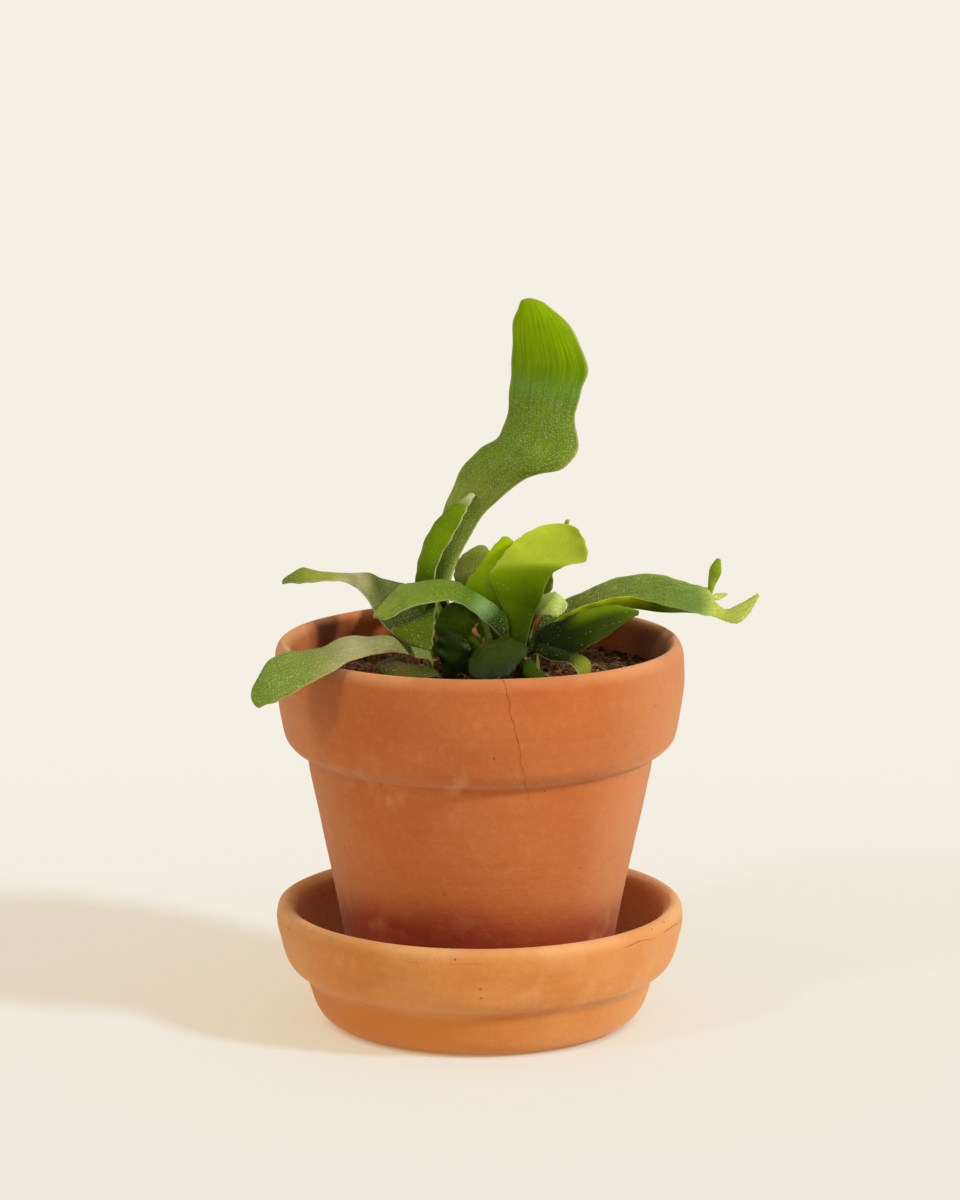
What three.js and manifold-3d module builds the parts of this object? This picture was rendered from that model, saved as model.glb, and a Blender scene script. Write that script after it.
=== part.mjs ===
// A young staghorn fern in a clay flower pot, which stands in a clay saucer.
//
// Millimetres, +Z up. The origin is the centre of the saucer's flat underside,
// -Y is the front of the plant and +X is its right.

import * as THREE from 'three';
import { mergeVertices } from 'three/addons/utils/BufferGeometryUtils.js';
import Module from 'manifold-3d';

const wasm = await Module();
wasm.setup();

// Driving dimensions

const GAP = 0.3;                 // clearance between neighbours that nearly touch

const SAUCER_RADIUS = 64.7;      // widest, just under the lip
const SAUCER_HEIGHT = 38.6;
const SAUCER_FLOOR = 6;          // thickness of the floor that the pot stands on

const POT_RIM_RADIUS = 65;       // a five inch pot: 130 mm across the collar
const POT_BASE_RADIUS = 38.5;
const POT_INNER_RADIUS = 59.4;   // inside the collar, at the level of the soil
const POT_TOP = 123.2;           // height of the lip above the surface
const POT_WALL = 5;
const POT_FLOOR = 6;
const COLLAR_BOTTOM = 87;        // underside of the thick band at the top
const DRAIN_RADIUS = 6;

const SOIL_TOP = 111;
const SOIL_RELIEF = 1.1;         // height of the crumbs
const SOIL_MOUND = 2.4;          // rise of the soil towards the crown
const SOIL_MOUND_REACH = 22;
const SOIL_RINGS = 9;

const CROWN = { at: [1.5, -1.5, 112.5], half: [21, 11.5, 8.5], lumps: 0.06 };

const TURNS = 36;                // flat sides round the pot and the saucer

const BLADE_THICKNESS = 0.9;
const STALK_THICKNESS = 2;       // where a frond leaves the crown
const STALK_SHARE = 0.22;        // share of the length over which the stalk thins to the blade
const STEPS_PER_ROW = 2;         // divisions along a blade for each row of its edges
const BLADE_CELLS = 4;           // divisions across a blade
const FORKED_CELLS = 6;
const LOBE_CUP = 0.08;
const OPENS_AT = 0.65;           // share of its length where a forked frond starts to open out
const NUDGE = 0.01;              // share of a blade's length over which its direction is taken
const SOCKET_STEPS = 3;
const SOCKET_CELLS = 2;
const SOCKET_SHARE = 0.22;       // share of a frond that can lie in the crown or the soil

// Fronds
//
// A blade is stretched between its two edges. Each row of edges holds a point of the left edge
// and the point of the right edge across from it, [x, y, z, x, y, z], from the crown to the tip.
// cup lifts the middle of the blade by that share of its width, and wave ripples the edges by
// that many millimetres. Where a frond forks, each lobe goes on from the cells of the last row
// that it names, counted from the left edge.

const FRONDS = [
  {
    name: 'tall_frond', color: '#5c6a2e', cup: 0.1, wave: 0.5,
    edges: [
      [-10.5, 2.5, 115, -7, 1.5, 115],
      [-13.5, 8, 136.5, -10, 3.5, 137.5],
      [-15, 14, 146.5, -7, 7, 147.5],
      [-13.5, 17, 155.5, -2, 10, 156.5],
      [-11.5, 18, 162.5, 3, 10, 163.5],
      [-9, 18, 169, 7.5, 7, 168],
      [-5, 16.5, 176.5, 12.5, 4.5, 173],
      [0, 14, 182, 19, 2, 176],
      [5, 11, 186, 27, 1, 178],
      [7.5, 10, 190.5, 31, 3, 184],
      [9, 9, 198, 30, 4, 194.5],
      [9.5, 8, 205, 32, 3, 202],
      [10, 7, 212, 34, 2, 209],
      [10, 6, 220, 31, 2, 218.5],
      [11, 5, 226.5, 26, 3, 225.5],
      [13, 5, 230.5, 20, 4, 230],
    ],
  },
  {
    name: 'folded_frond', color: '#6f9a34', cup: 0.14, wave: 0,
    edges: [
      [-13, -2, 114, -11, -3.5, 114],
      [-17.5, 3, 127.1, -14.5, 0, 127.1],
      [-20, 8, 133.6, -15.5, 4, 133.6],
      [-20.5, 8, 140.6, -14.5, 4, 141.6],
      [-19.5, 8, 147.6, -12.5, 4, 148.6],
      [-16.5, 8, 156, -8.5, 4, 155.6],
      [-12, 8, 162.1, -5, 5, 162.1],
      [-7.5, 8, 165.6, -3.5, 7, 165.1],
      [-3, 9, 168.6, -1.5, 8.5, 168],
    ],
  },
  {
    name: 'left_twisted_frond', color: '#8a9454', cup: 0.08, wave: 0.3,
    edges: [
      [-14, 1.5, 114, -14, 4.5, 115],
      [-17, 4, 120.8, -15, 10, 126.8],
      [-22.5, 9, 121, -19, 19, 132],
      [-29.5, 14, 123.4, -24, 27, 136],
      [-34, 18, 128.3, -30, 31, 136.8],
      [-37.5, 21, 133.6, -36, 31, 138.8],
      [-43, 21.5, 137.8, -43, 29, 138.8],
      [-47.5, 20, 138.1, -48.5, 27, 139.8],
      [-53.5, 20, 137.8, -53.5, 26, 140.6],
      [-58, 20, 137.5, -57, 25.5, 141.6],
      [-63.5, 22, 137, -62.5, 23.5, 138.6],
    ],
  },
  {
    name: 'left_arching_frond', color: '#6d8c36', cup: 0.08, wave: 0.4,
    edges: [
      [5.5, -6, 114, 5, -3, 115],
      [6.5, -9, 124.5, 8.5, -5.5, 127],
      [3.5, -13, 129.5, 7, -6, 132.5],
      [-1, -17, 134.5, 2.5, -8, 137.5],
      [-6, -20, 138, -3.5, -9, 141.5],
      [-11, -22, 140, -9.5, -10, 144],
      [-21.5, -24, 138, -21.5, -10, 143.5],
      [-26, -24, 135.5, -24.5, -11, 143],
      [-29.5, -23, 134, -27.5, -13, 140.5],
      [-33, -20, 134, -32.5, -18, 135.5],
    ],
  },
  {
    name: 'left_hanging_frond', color: '#4f8423', cup: 0.08, wave: 0.4,
    edges: [
      [-4, -2.5, 114, -6.5, -2, 114],
      [-8, -4, 129, -10.5, -3.5, 129],
      [-10.5, -7, 136.5, -13, -6.5, 136.5],
      [-13, -14, 139.5, -16, -13.5, 139],
      [-14, -21, 136, -18.5, -20, 134],
      [-14, -24, 132.5, -24.5, -23, 132],
      [-14.5, -25.5, 128, -28, -23, 131],
      [-15, -26, 125.5, -24, -25, 127.5],
      [-17.5, -26, 125.5, -20.5, -25.5, 126.5],
    ],
  },
  {
    name: 'over_rim_frond', color: '#748f45', cup: 0.08, wave: 0.6,
    edges: [
      [-15, -7.5, 112, -15.5, -5, 112.5],
      [-16, -16, 119.5, -16.5, -10, 121.5],
      [-20, -22, 121.5, -20, -13.5, 124],
      [-25, -28.5, 125, -24.5, -18, 126],
      [-29.5, -38, 126.5, -29.5, -25, 129.5],
      [-35, -46, 126.5, -35, -31, 130.5],
      [-41, -50, 126, -41.5, -34, 130.5],
      [-47, -54, 123, -47.5, -38, 129],
      [-53, -58, 120, -53.5, -42, 128.5],
      [-58.5, -60, 117.5, -60, -45, 128],
      [-63, -60, 115.5, -65, -48, 126],
      [-67.5, -58, 113.5, -69.5, -53, 119],
    ],
  },
  {
    name: 'shield_leaf', color: '#2f5a22', cup: 0.07, wave: 0.9,
    edges: [
      [11, -8.5, 113, 8.5, -7, 114.5],
      [15.2, -13.5, 122.8, 9, -9.5, 125],
      [12, -20, 118.8, 3.5, -13.5, 125.8],
      [9, -24.8, 116.8, -1, -17.5, 124.2],
      [4, -27.5, 116, -3.5, -22, 121],
      [-0.5, -28, 116, -3.5, -25.5, 118],
    ],
  },
  {
    name: 'lime_frond', color: '#8fc132', cup: -0.12, wave: 0.4,
    edges: [
      [9.5, -3, 114, 13, -3, 114],
      [8.5, -3.5, 131, 16.8, -4.5, 131],
      [5.5, -4, 137, 19.5, -6.5, 137.5],
      [2.5, -4.5, 144, 22.5, -8, 145.5],
      [5, -5, 148.5, 28, -9.5, 149],
      [8.5, -4, 153, 33.5, -10, 150.5],
      [13, -2, 157, 33.5, -8, 155],
      [18.5, 0, 159.5, 31, -5, 159.5],
    ],
  },
  {
    name: 'middle_frond', color: '#6aa22c', cup: 0.1, wave: 0.3,
    edges: [
      [6.5, 0.5, 115, 9.5, 0.5, 115],
      [1, 2.5, 131.5, 8, 0.5, 131.5],
      [-4.5, 2.5, 140.5, 6.5, -0.5, 138.5],
      [-0.5, 3, 146, 9, 0.5, 144],
      [2.5, 4, 150.5, 10.5, 2, 149],
      [7, 6, 155, 10.5, 4.5, 154],
    ],
  },
  {
    name: 'grey_back_frond', color: '#7f8c5c', cup: 0.1, wave: 0.2,
    edges: [
      [4, 4, 114, 7, 4.5, 114],
      [-2, 12, 130.5, 3, 9, 130.5],
      [-8, 17, 138.5, 1, 13, 136.5],
      [-8, 20, 143, 2.5, 16, 142.5],
      [-5.5, 22, 146.5, 3.5, 18, 147],
      [-1.5, 23, 148.5, 2.5, 21, 148.5],
    ],
  },
  {
    name: 'narrow_back_frond', color: '#9aac4a', cup: 0.1, wave: 0.2,
    edges: [
      [10.5, 4.5, 114, 13, 4, 114],
      [14.5, 12, 130.5, 17.5, 8.5, 130.5],
      [18.5, 13, 138.5, 23, 7, 138.5],
      [20.5, 13, 145, 23.5, 8, 144],
      [23.5, 12, 151.5, 26.5, 9, 151],
      [27.5, 10, 160, 28.5, 9.5, 160],
    ],
  },
  {
    name: 'short_front_frond', color: '#9bb85a', cup: 0.08, wave: 0.2,
    edges: [
      [14, 0.5, 114, 15.2, -1.2, 113.5],
      [14.8, 0.5, 128, 16.8, -1.2, 127],
      [17, 1, 134, 18.5, -2.5, 131],
      [20, 0.5, 137.5, 21.5, -5.5, 132],
      [23.5, -1, 138.8, 24, -8, 132],
      [26, -3.5, 137.5, 26, -8, 133],
      [27.5, -6, 136, 27, -8, 134.2],
    ],
  },
  {
    name: 'right_forked_frond', color: '#7f9150', cup: -0.45, wave: 0.2,
    edges: [
      [16, 2.5, 115, 17.5, 0, 114.5],
      [19.5, 7, 129.5, 21, 2, 126],
      [26.5, 10, 134, 26, 1, 130.5],
      [35.5, 12.5, 137.5, 35.5, 0.5, 135],
      [44.5, 15, 140.5, 45, 0.5, 137],
      [55, 17, 141.5, 54, 1, 135.5],
      [63, 16.5, 139.5, 63, 1.5, 133],
      [69, 15.5, 138, 70, 1, 131],
      [73, 14.5, 137, 75, 1.5, 130],
    ],
    lobes: [
      {
        cells: [0, 2],
        edges: [
          [73, 15.5, 140, 75.5, 13, 139],
          [73.5, 16, 143.5, 77, 13, 142],
          [75.5, 16.5, 146, 77, 15.5, 146],
        ],
      },
      {
        cells: [2, 3],
        edges: [
          [75.5, 11.5, 136, 76, 9.5, 134],
          [78.5, 11.5, 136, 79, 11, 135.5],
        ],
      },
      {
        cells: [3, 6],
        edges: [
          [78, 5, 132, 77.5, 0.5, 129],
          [82.5, 4, 134, 81.5, -1, 128.5],
          [85, 3.5, 135.5, 85, 0, 131],
          [88, 3, 137.5, 88.5, 3, 136.5],
        ],
      },
    ],
  },
  {
    name: 'right_lower_frond', color: '#3c6b28', cup: 0.1, wave: 0.3,
    edges: [
      [19.5, -0.5, 112.5, 19.5, -3.5, 112.5],
      [19.5, -1, 126.5, 18.5, -7, 119],
      [26.5, -2, 130.3, 27, -12, 120],
      [31.5, -2.5, 132.6, 33, -13, 122.5],
      [38, -2.5, 134.4, 39.5, -10.5, 126],
      [45, -3, 134.7, 45.5, -7, 129.8],
      [50, -3.5, 133, 50, -4.5, 132],
    ],
  },
  {
    name: 'front_curled_frond', color: '#3f7a2a', cup: 0.1, wave: 0.2,
    edges: [
      [19, -5.5, 112.5, 17.5, -8, 112.5],
      [18.5, -10, 123.5, 17, -14, 121],
      [22.5, -13, 123.5, 21.5, -20, 120.5],
      [27, -16, 122.5, 25.5, -26, 121],
      [32, -19, 121.5, 28.5, -30, 121],
      [34.5, -22, 120, 30, -32, 119],
      [34, -24, 116, 30.5, -31, 115.5],
    ],
  },
  {
    name: 'low_front_leaf', color: '#3d7326', cup: 0.08, wave: 0.2,
    edges: [
      [14.5, -10, 112.5, 12.5, -10.5, 112.5],
      [16, -17, 120.5, 13.5, -20, 118.5],
      [17.5, -21.5, 119, 13.5, -26, 117],
      [19, -26, 118, 16, -29.5, 117],
      [20, -29, 117.5, 19, -30, 117],
    ],
  },
  {
    name: 'low_left_leaf', color: '#4d7a33', cup: 0.1, wave: 0.3,
    edges: [
      [-10.5, -9.5, 110.5, -12.5, -8.5, 110.5],
      [-14, -21, 115.5, -15, -14, 116],
      [-21, -28, 116, -21.5, -16.5, 118.5],
      [-26.5, -30, 117, -26, -17, 121],
      [-30.5, -28, 118, -29.5, -20, 120.5],
      [-32.5, -25, 118.5, -32, -23, 119.5],
    ],
  },
  {
    name: 'back_left_frond', color: '#5f8a34', cup: 0.1, wave: 0.5,
    edges: [
      [-8, 5, 113, -5.5, 6, 113],
      [-14, 14, 122, -9, 16, 124],
      [-21, 24, 126, -12.5, 28, 128],
      [-27.5, 34, 128, -16, 40, 129],
      [-31.5, 43, 128, -18.5, 49, 128.5],
    ],
    lobes: [
      {
        cells: [0, 3],
        edges: [
          [-33.5, 50, 127, -28.5, 52.5, 127.5],
          [-36, 59, 125.5, -33.5, 60.5, 125.5],
        ],
      },
      {
        cells: [3, 6],
        edges: [
          [-26.5, 55, 127.5, -20, 56.5, 127.5],
          [-26, 63, 126.5, -21.5, 63.5, 126.5],
          [-26, 70, 125, -24, 70, 125],
        ],
      },
    ],
  },
  {
    name: 'back_middle_frond', color: '#6b9a38', cup: 0.1, wave: 0.5,
    edges: [
      [-2, 7, 114, 1.5, 7.5, 114],
      [-5, 16, 123, 2, 17, 123],
      [-7, 27, 127, 3, 28, 127],
      [-8, 39, 128, 6, 40, 128],
      [-8.5, 50, 128, 8, 50, 127.5],
    ],
    lobes: [
      {
        cells: [0, 3],
        edges: [
          [-9.5, 57, 127.5, -3.5, 59, 127.5],
          [-12, 64.5, 126.5, -7.5, 66, 126.5],
          [-13, 70, 125, -11, 71, 125],
        ],
      },
      {
        cells: [3, 6],
        edges: [
          [3.5, 58.5, 127, 10, 56.5, 127],
          [7, 66, 126.5, 12, 64, 126],
          [11, 72, 124.5, 13.5, 71, 124.5],
        ],
      },
    ],
  },
  {
    name: 'back_right_frond', color: '#5a8430', cup: 0.1, wave: 0.5,
    edges: [
      [11, 7, 113, 13.5, 6, 113],
      [16.5, 15, 122, 21, 11.5, 121.5],
      [22, 25, 126, 30, 19, 125.5],
      [29, 35, 128, 39.5, 27, 127.5],
      [35, 42, 129, 45, 33.5, 128.5],
    ],
    lobes: [
      {
        cells: [0, 3],
        edges: [
          [36.5, 48.5, 129, 41, 45.5, 129],
          [39.5, 55, 128, 44, 53, 128],
          [44, 61, 126, 46, 60, 126],
        ],
      },
      {
        cells: [3, 6],
        edges: [
          [46, 40.5, 129, 49.5, 35.5, 128.5],
          [52.5, 41.5, 128, 54.5, 36.5, 128],
          [60, 42, 127, 60.5, 39.5, 127],
        ],
      },
    ],
  },
  {
    name: 'back_upright_frond', color: '#76a531', cup: 0.1, wave: 0.4,
    edges: [
      [4.5, 7, 113, 7, 7.5, 113],
      [6, 13, 125, 10, 13, 125],
      [8.5, 18, 136, 15, 17, 136],
      [10, 25, 144, 19.5, 23.5, 144],
      [12.5, 33, 147, 23.5, 31, 147],
      [14, 40, 146.5, 25.5, 38.5, 146.5],
    ],
    lobes: [
      {
        cells: [0, 3],
        edges: [
          [14, 46.5, 144, 19, 48, 144],
          [13, 53, 140.5, 17.5, 54, 140.5],
          [13.5, 59, 136, 15.5, 59.5, 136],
        ],
      },
      {
        cells: [3, 6],
        edges: [
          [21, 47.5, 143.5, 26.5, 45.5, 143.5],
          [21.5, 54, 140, 25.5, 52.5, 140],
          [22.5, 61, 135, 24.5, 60, 135],
        ],
      },
    ],
  },
  {
    name: 'heart_leaf', color: '#3d6a24', cup: 0.08, wave: 0.7,
    edges: [
      [-7, -7, 112.5, -1.5, -7.5, 112.5],
      [-11, -8, 122, 0.5, -9, 122],
      [-13.5, -8.5, 130, 1, -9.5, 129],
      [-12.5, -9, 134, -1.5, -9.5, 133.5],
      [-9.5, -9.5, 136.5, -5, -9.5, 136.5],
    ],
  },
  {
    name: 'heart_shield_leaf', color: '#31561f', cup: 0.05, wave: 0.8,
    edges: [
      [-8, -10.5, 111.5, -3, -11, 111.5],
      [-12, -13, 117.5, -2, -13.5, 116.8],
      [-13.8, -13, 122.5, -2.4, -13.8, 121.5],
      [-13.5, -12.8, 125.8, -3.8, -14, 125.2],
      [-12, -12.4, 128, -7.5, -13.2, 128.2],
    ],
  },
  {
    name: 'dry_scale', color: '#b08a5a', cup: -0.1, wave: 0.2,
    edges: [
      [3.5, -9.5, 113, 1.5, -10, 113],
      [2.4, -11.4, 121, 0.8, -11.8, 121],
      [0.4, -11.8, 126, -1.2, -12.2, 126],
      [-1.2, -12.2, 128.8, -2.6, -12.6, 128.2],
      [-0.6, -12, 131, -1.6, -12.4, 130.4],
    ],
  },
];

// Shared helpers

function finish(color, roughness = 0.8) {
  return new THREE.MeshStandardMaterial({ color, roughness, metalness: 0 });
}

function part(name, geometry, material) {
  const mesh = new THREE.Mesh(geometry, material);
  mesh.name = name;
  return mesh;
}

// Turns a profile of [radius, height] pairs round the vertical axis.
function revolve(profile) {
  const points = profile.map(([radius, height]) => new THREE.Vector2(radius, height));
  const shape = new THREE.LatheGeometry(points, TURNS);
  shape.rotateX(Math.PI / 2);
  return shape;
}

function toSolid(geometry) {
  const bare = geometry.clone();
  bare.deleteAttribute('normal');
  bare.deleteAttribute('uv');
  const merged = mergeVertices(bare, 1e-4);
  const mesh = new wasm.Mesh({
    numProp: 3,
    vertProperties: merged.attributes.position.array,
    triVerts: new Uint32Array(merged.index.array),
  });
  return new wasm.Manifold(mesh);
}

function toGeometry(solid) {
  const mesh = solid.getMesh();
  const geometry = new THREE.BufferGeometry();
  geometry.setAttribute('position', new THREE.BufferAttribute(mesh.vertProperties, 3));
  geometry.setIndex(new THREE.BufferAttribute(mesh.triVerts, 1));
  geometry.computeVertexNormals();
  return geometry;
}

// Clay

// Inner wall of the pot from the lip down to the drain hole, [radius, height].
const POT_INSIDE = [
  [61.2, POT_TOP - 0.6],
  [60.2, POT_TOP - 2.4],
  [59.9, POT_TOP - 6],
  [POT_INNER_RADIUS, POT_TOP - 20],
  [57.8, 97],
  [51.5, 90],
  [49.8, COLLAR_BOTTOM],
  [POT_BASE_RADIUS - POT_WALL + 1.5, SAUCER_FLOOR + POT_FLOOR + 4],
  [POT_BASE_RADIUS - POT_WALL - 1.5, SAUCER_FLOOR + POT_FLOOR],
];

function makeSaucer() {
  const lip = SAUCER_RADIUS - 2.5;
  return revolve([
    [0, 0], [44.5, 0], [48.2, 1], [51, 3.2], [52.8, 6], [54.2, 10], [55.6, 14.2],
    [57.6, 16.4], [60.2, 18.4], [61.8, 20.8], [62.8, 23.6], [63.8, 28], [SAUCER_RADIUS, 32],
    [SAUCER_RADIUS, 35.4], [64.1, 37.4], [lip, SAUCER_HEIGHT], [60.4, 37.9], [58.9, 36.2],
    [58.2, 30], [56.8, 24], [54.4, 18], [51.4, 12.5], [48.4, 8.4], [45.6, SAUCER_FLOOR + 0.5],
    [42.5, SAUCER_FLOOR], [0, SAUCER_FLOOR],
  ]);
}

function makePot() {
  const foot = SAUCER_FLOOR;
  return revolve([
    [DRAIN_RADIUS, foot], [POT_BASE_RADIUS - 1.2, foot], [POT_BASE_RADIUS, foot + 1.2],
    [47.6, 50.5], [54.4, 82], [55.4, COLLAR_BOTTOM], [57.6, 88.4], [60, 90.2], [61.7, 92.4],
    [62.5, 94.8], [63.4, 99], [64.2, 103.5], [POT_RIM_RADIUS, 109.5], [POT_RIM_RADIUS, 117],
    [64.7, 120.2], [63.7, 122.4], [62.4, POT_TOP], ...POT_INSIDE,
    [DRAIN_RADIUS, foot + POT_FLOOR], [DRAIN_RADIUS, foot],
  ]);
}

// Soil and crown

function soilHeight(x, y) {
  const crumbs = Math.sin(0.9 * x + 1.3 * Math.sin(0.55 * y))
    + Math.sin(1.1 * y + 1.7 * Math.sin(0.45 * x))
    + Math.sin(0.6 * (x - y) + 2);
  const mound = SOIL_MOUND * Math.exp(-(x * x + y * y) / SOIL_MOUND_REACH ** 2);
  return SOIL_RELIEF * crumbs / 3 + mound;
}

// Fills the pot to SOIL_TOP, with a loose top and a plug of soil in the drain hole.
function makeSoil() {
  const wall = POT_INSIDE.filter(([, height]) => height < SOIL_TOP - SOIL_MOUND).reverse();
  const sides = wall.map(([radius, height]) => [radius - GAP, height + GAP]);
  const plug = [
    [0, SAUCER_FLOOR + GAP],
    [DRAIN_RADIUS - GAP, SAUCER_FLOOR + GAP],
    [DRAIN_RADIUS - GAP, SAUCER_FLOOR + POT_FLOOR + GAP],
  ];
  const rings = [];
  for (let ring = 0; ring <= SOIL_RINGS; ring += 1) {
    rings.push([(POT_INNER_RADIUS - GAP) * (1 - ring / SOIL_RINGS), SOIL_TOP]);
  }
  const shape = revolve([...plug, ...sides, ...rings]);
  const position = shape.attributes.position;
  for (let i = 0; i < position.count; i += 1) {
    if (position.getZ(i) > SOIL_TOP - 0.5) {
      const lift = soilHeight(position.getX(i), position.getY(i));
      position.setZ(i, position.getZ(i) + lift);
    }
  }
  return toSolid(shape);
}

// The creeping stem that every frond grows from, swollen by grow.
function makeCrownLump(grow) {
  const lump = new THREE.SphereGeometry(1, 18, 10);
  const position = lump.attributes.position;
  const point = new THREE.Vector3();
  const [halfX, halfY, halfZ] = CROWN.half;
  for (let i = 0; i < position.count; i += 1) {
    point.fromBufferAttribute(position, i);
    const knobs = Math.sin(6 * point.x + 1) * Math.sin(5 * point.y) * Math.sin(4 * point.z + 2);
    point.multiplyScalar(1 + CROWN.lumps * knobs);
    position.setXYZ(
      i,
      CROWN.at[0] + point.x * (halfX + grow),
      CROWN.at[1] + point.y * (halfY + grow),
      CROWN.at[2] + point.z * (halfZ + grow),
    );
  }
  return toSolid(lump);
}

// Fronds

function edgeCurve(points) {
  return new THREE.CatmullRomCurve3(points, false, 'centripetal');
}

function leftEdge(rows) {
  return rows.map(([x, y, z]) => new THREE.Vector3(x, y, z));
}

function rightEdge(rows) {
  return rows.map((row) => new THREE.Vector3(...row.slice(3)));
}

// Half the thickness of a frond at a share of its length from the crown.
function halfThickness(along) {
  const stalk = Math.max(0, 1 - along / STALK_SHARE);
  return (BLADE_THICKNESS + (STALK_THICKNESS - BLADE_THICKNESS) * stalk) / 2;
}

// Rows of points across a blade. Each point holds half the thickness there.
function bladeRows(left, right, shape) {
  const { steps, cells, cup, endCup = cup, wave = 0, first = 0, share = 1, grow = 0 } = shape;
  const [leftCurve, rightCurve] = [edgeCurve(left), edgeCurve(right)];
  const middle = (along) => leftCurve.getPoint(along).lerp(rightCurve.getPoint(along), 0.5);
  const rows = [];
  for (let step = first; step <= steps; step += 1) {
    const along = share * step / steps;
    const a = leftCurve.getPoint(along);
    const b = rightCurve.getPoint(along);
    const ahead = middle(Math.min(1, along + NUDGE)).sub(middle(Math.max(0, along - NUDGE)));
    const across = b.clone().sub(a);
    const width = across.length();
    const facing = across.clone().cross(ahead).normalize();
    const behind = step === 0 ? -grow / ahead.length() : 0;
    a.addScaledVector(across, -grow / width).addScaledVector(ahead, behind);
    b.addScaledVector(across, grow / width).addScaledVector(ahead, behind);
    const ripple = wave * Math.sin(Math.PI * along);
    const opening = THREE.MathUtils.smoothstep(along, OPENS_AT, 1);
    const bow = THREE.MathUtils.lerp(cup, endCup, opening) * Math.min(1, along / STALK_SHARE);
    const row = [];
    for (let cell = 0; cell <= cells; cell += 1) {
      const side = 2 * cell / cells - 1;
      const rise = bow * width * (1 - side * side);
      const flutter = ripple * side * side * Math.sin(22 * along + 2 * side);
      const at = a.clone().lerp(b, cell / cells).addScaledVector(facing, rise + flutter);
      row.push({ at, half: halfThickness(first ? 1 : along) + grow });
    }
    rows.push(row);
  }
  return rows;
}

// A sheet of four-sided cells between rows of points. A row can start as part of an older row.
class Sheet {
  constructor() {
    this.points = [];
    this.quads = [];
  }

  addRow(row) {
    return row.map((point) => this.points.push(point) - 1);
  }

  addStrip(rows, start = this.addRow(rows.shift())) {
    return rows.reduce((below, row) => {
      const above = this.addRow(row);
      for (let cell = 1; cell < above.length; cell += 1) {
        this.quads.push([below[cell - 1], below[cell], above[cell], above[cell - 1]]);
      }
      return above;
    }, start);
  }

  // Direction that the upper face looks in at each point.
  normals() {
    const normals = this.points.map(() => new THREE.Vector3());
    for (const [a, b, c, d] of this.quads) {
      const across = this.points[c].at.clone().sub(this.points[a].at);
      const normal = across.cross(this.points[d].at.clone().sub(this.points[b].at));
      for (const corner of [a, b, c, d]) normals[corner].add(normal);
    }
    return normals.map((normal) => normal.normalize());
  }

  // Thickens the sheet into a closed body. Both faces are cut into the same triangles.
  toSolid() {
    const normals = this.normals();
    const skin = (way) => this.points.map(({ at, half }, i) => (
      at.clone().addScaledVector(normals[i], way * half)));
    const under = this.points.length;
    const faces = [];
    const edges = new Set(this.quads.flatMap((quad) => quad.map((a, i) => `${a} ${quad[(i + 1) % 4]}`)));
    for (const quad of this.quads) {
      const [a, b, c, d] = quad;
      faces.push(a, b, c, a, c, d, under + a, under + c, under + b, under + a, under + d, under + c);
      quad.forEach((here, i) => {
        const next = quad[(i + 1) % 4];
        if (edges.has(`${next} ${here}`)) return;
        faces.push(here, under + here, under + next, here, under + next, next);
      });
    }
    const positions = [...skin(1), ...skin(-1)].flatMap((point) => point.toArray());
    const geometry = new THREE.BufferGeometry();
    geometry.setAttribute('position', new THREE.Float32BufferAttribute(positions, 3));
    geometry.setIndex(faces);
    return toSolid(geometry);
  }
}

function makeFrond({ edges, cup, wave, lobes = [] }) {
  const cells = lobes.length > 0 ? FORKED_CELLS : BLADE_CELLS;
  const sheet = new Sheet();
  const stepsFor = (rows) => Math.round(STEPS_PER_ROW * rows.length);
  const endCup = lobes.length > 0 ? LOBE_CUP : cup;
  const blade = { steps: stepsFor(edges), cells, cup, endCup, wave };
  const last = sheet.addStrip(bladeRows(leftEdge(edges), rightEdge(edges), blade));
  for (const lobe of lobes) {
    const [from, to] = lobe.cells;
    const start = last.slice(from, to + 1);
    const left = [sheet.points[start[0]].at.clone(), ...leftEdge(lobe.edges)];
    const right = [sheet.points[start.at(-1)].at.clone(), ...rightEdge(lobe.edges)];
    const shape = { steps: stepsFor(left), cells: to - from, cup: LOBE_CUP, first: 1 };
    sheet.addStrip(bladeRows(left, right, shape), start);
  }
  return sheet.toSolid();
}

// The foot of a frond with its clearance, which is cut out of the crown and the soil.
function makeSocket({ edges, cup }) {
  const sheet = new Sheet();
  const foot = { steps: SOCKET_STEPS, cells: SOCKET_CELLS, cup, grow: GAP, share: SOCKET_SHARE };
  sheet.addStrip(bladeRows(leftEdge(edges), rightEdge(edges), foot));
  return sheet.toSolid();
}

// Assembly

const sockets = FRONDS.map(makeSocket).reduce((all, socket) => all.add(socket));
const crown = makeCrownLump(0).subtract(sockets);
const soil = makeSoil().subtract(makeCrownLump(GAP)).subtract(sockets);

const group = new THREE.Group();
group.add(part('saucer', makeSaucer(), finish('#cd8241')));
group.add(part('pot', makePot(), finish('#c86e3c')));
group.add(part('soil', toGeometry(soil), finish('#4a2f22', 0.95)));
group.add(part('crown', toGeometry(crown), finish('#6d5a35', 0.9)));
for (const frond of FRONDS) {
  group.add(part(frond.name, toGeometry(makeFrond(frond)), finish(frond.color, 0.6)));
}

export default group;
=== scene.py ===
# %% [markdown]
# # A young staghorn fern in a clay pot
#
# The imported model gives every size and place. This file gives the looks: fired clay with its
# bloom and damp foot, a crumbly soil, and fronds with streaks, pale margins and starry hairs.
# The frame is loaded first.

import math
from types import SimpleNamespace

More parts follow.
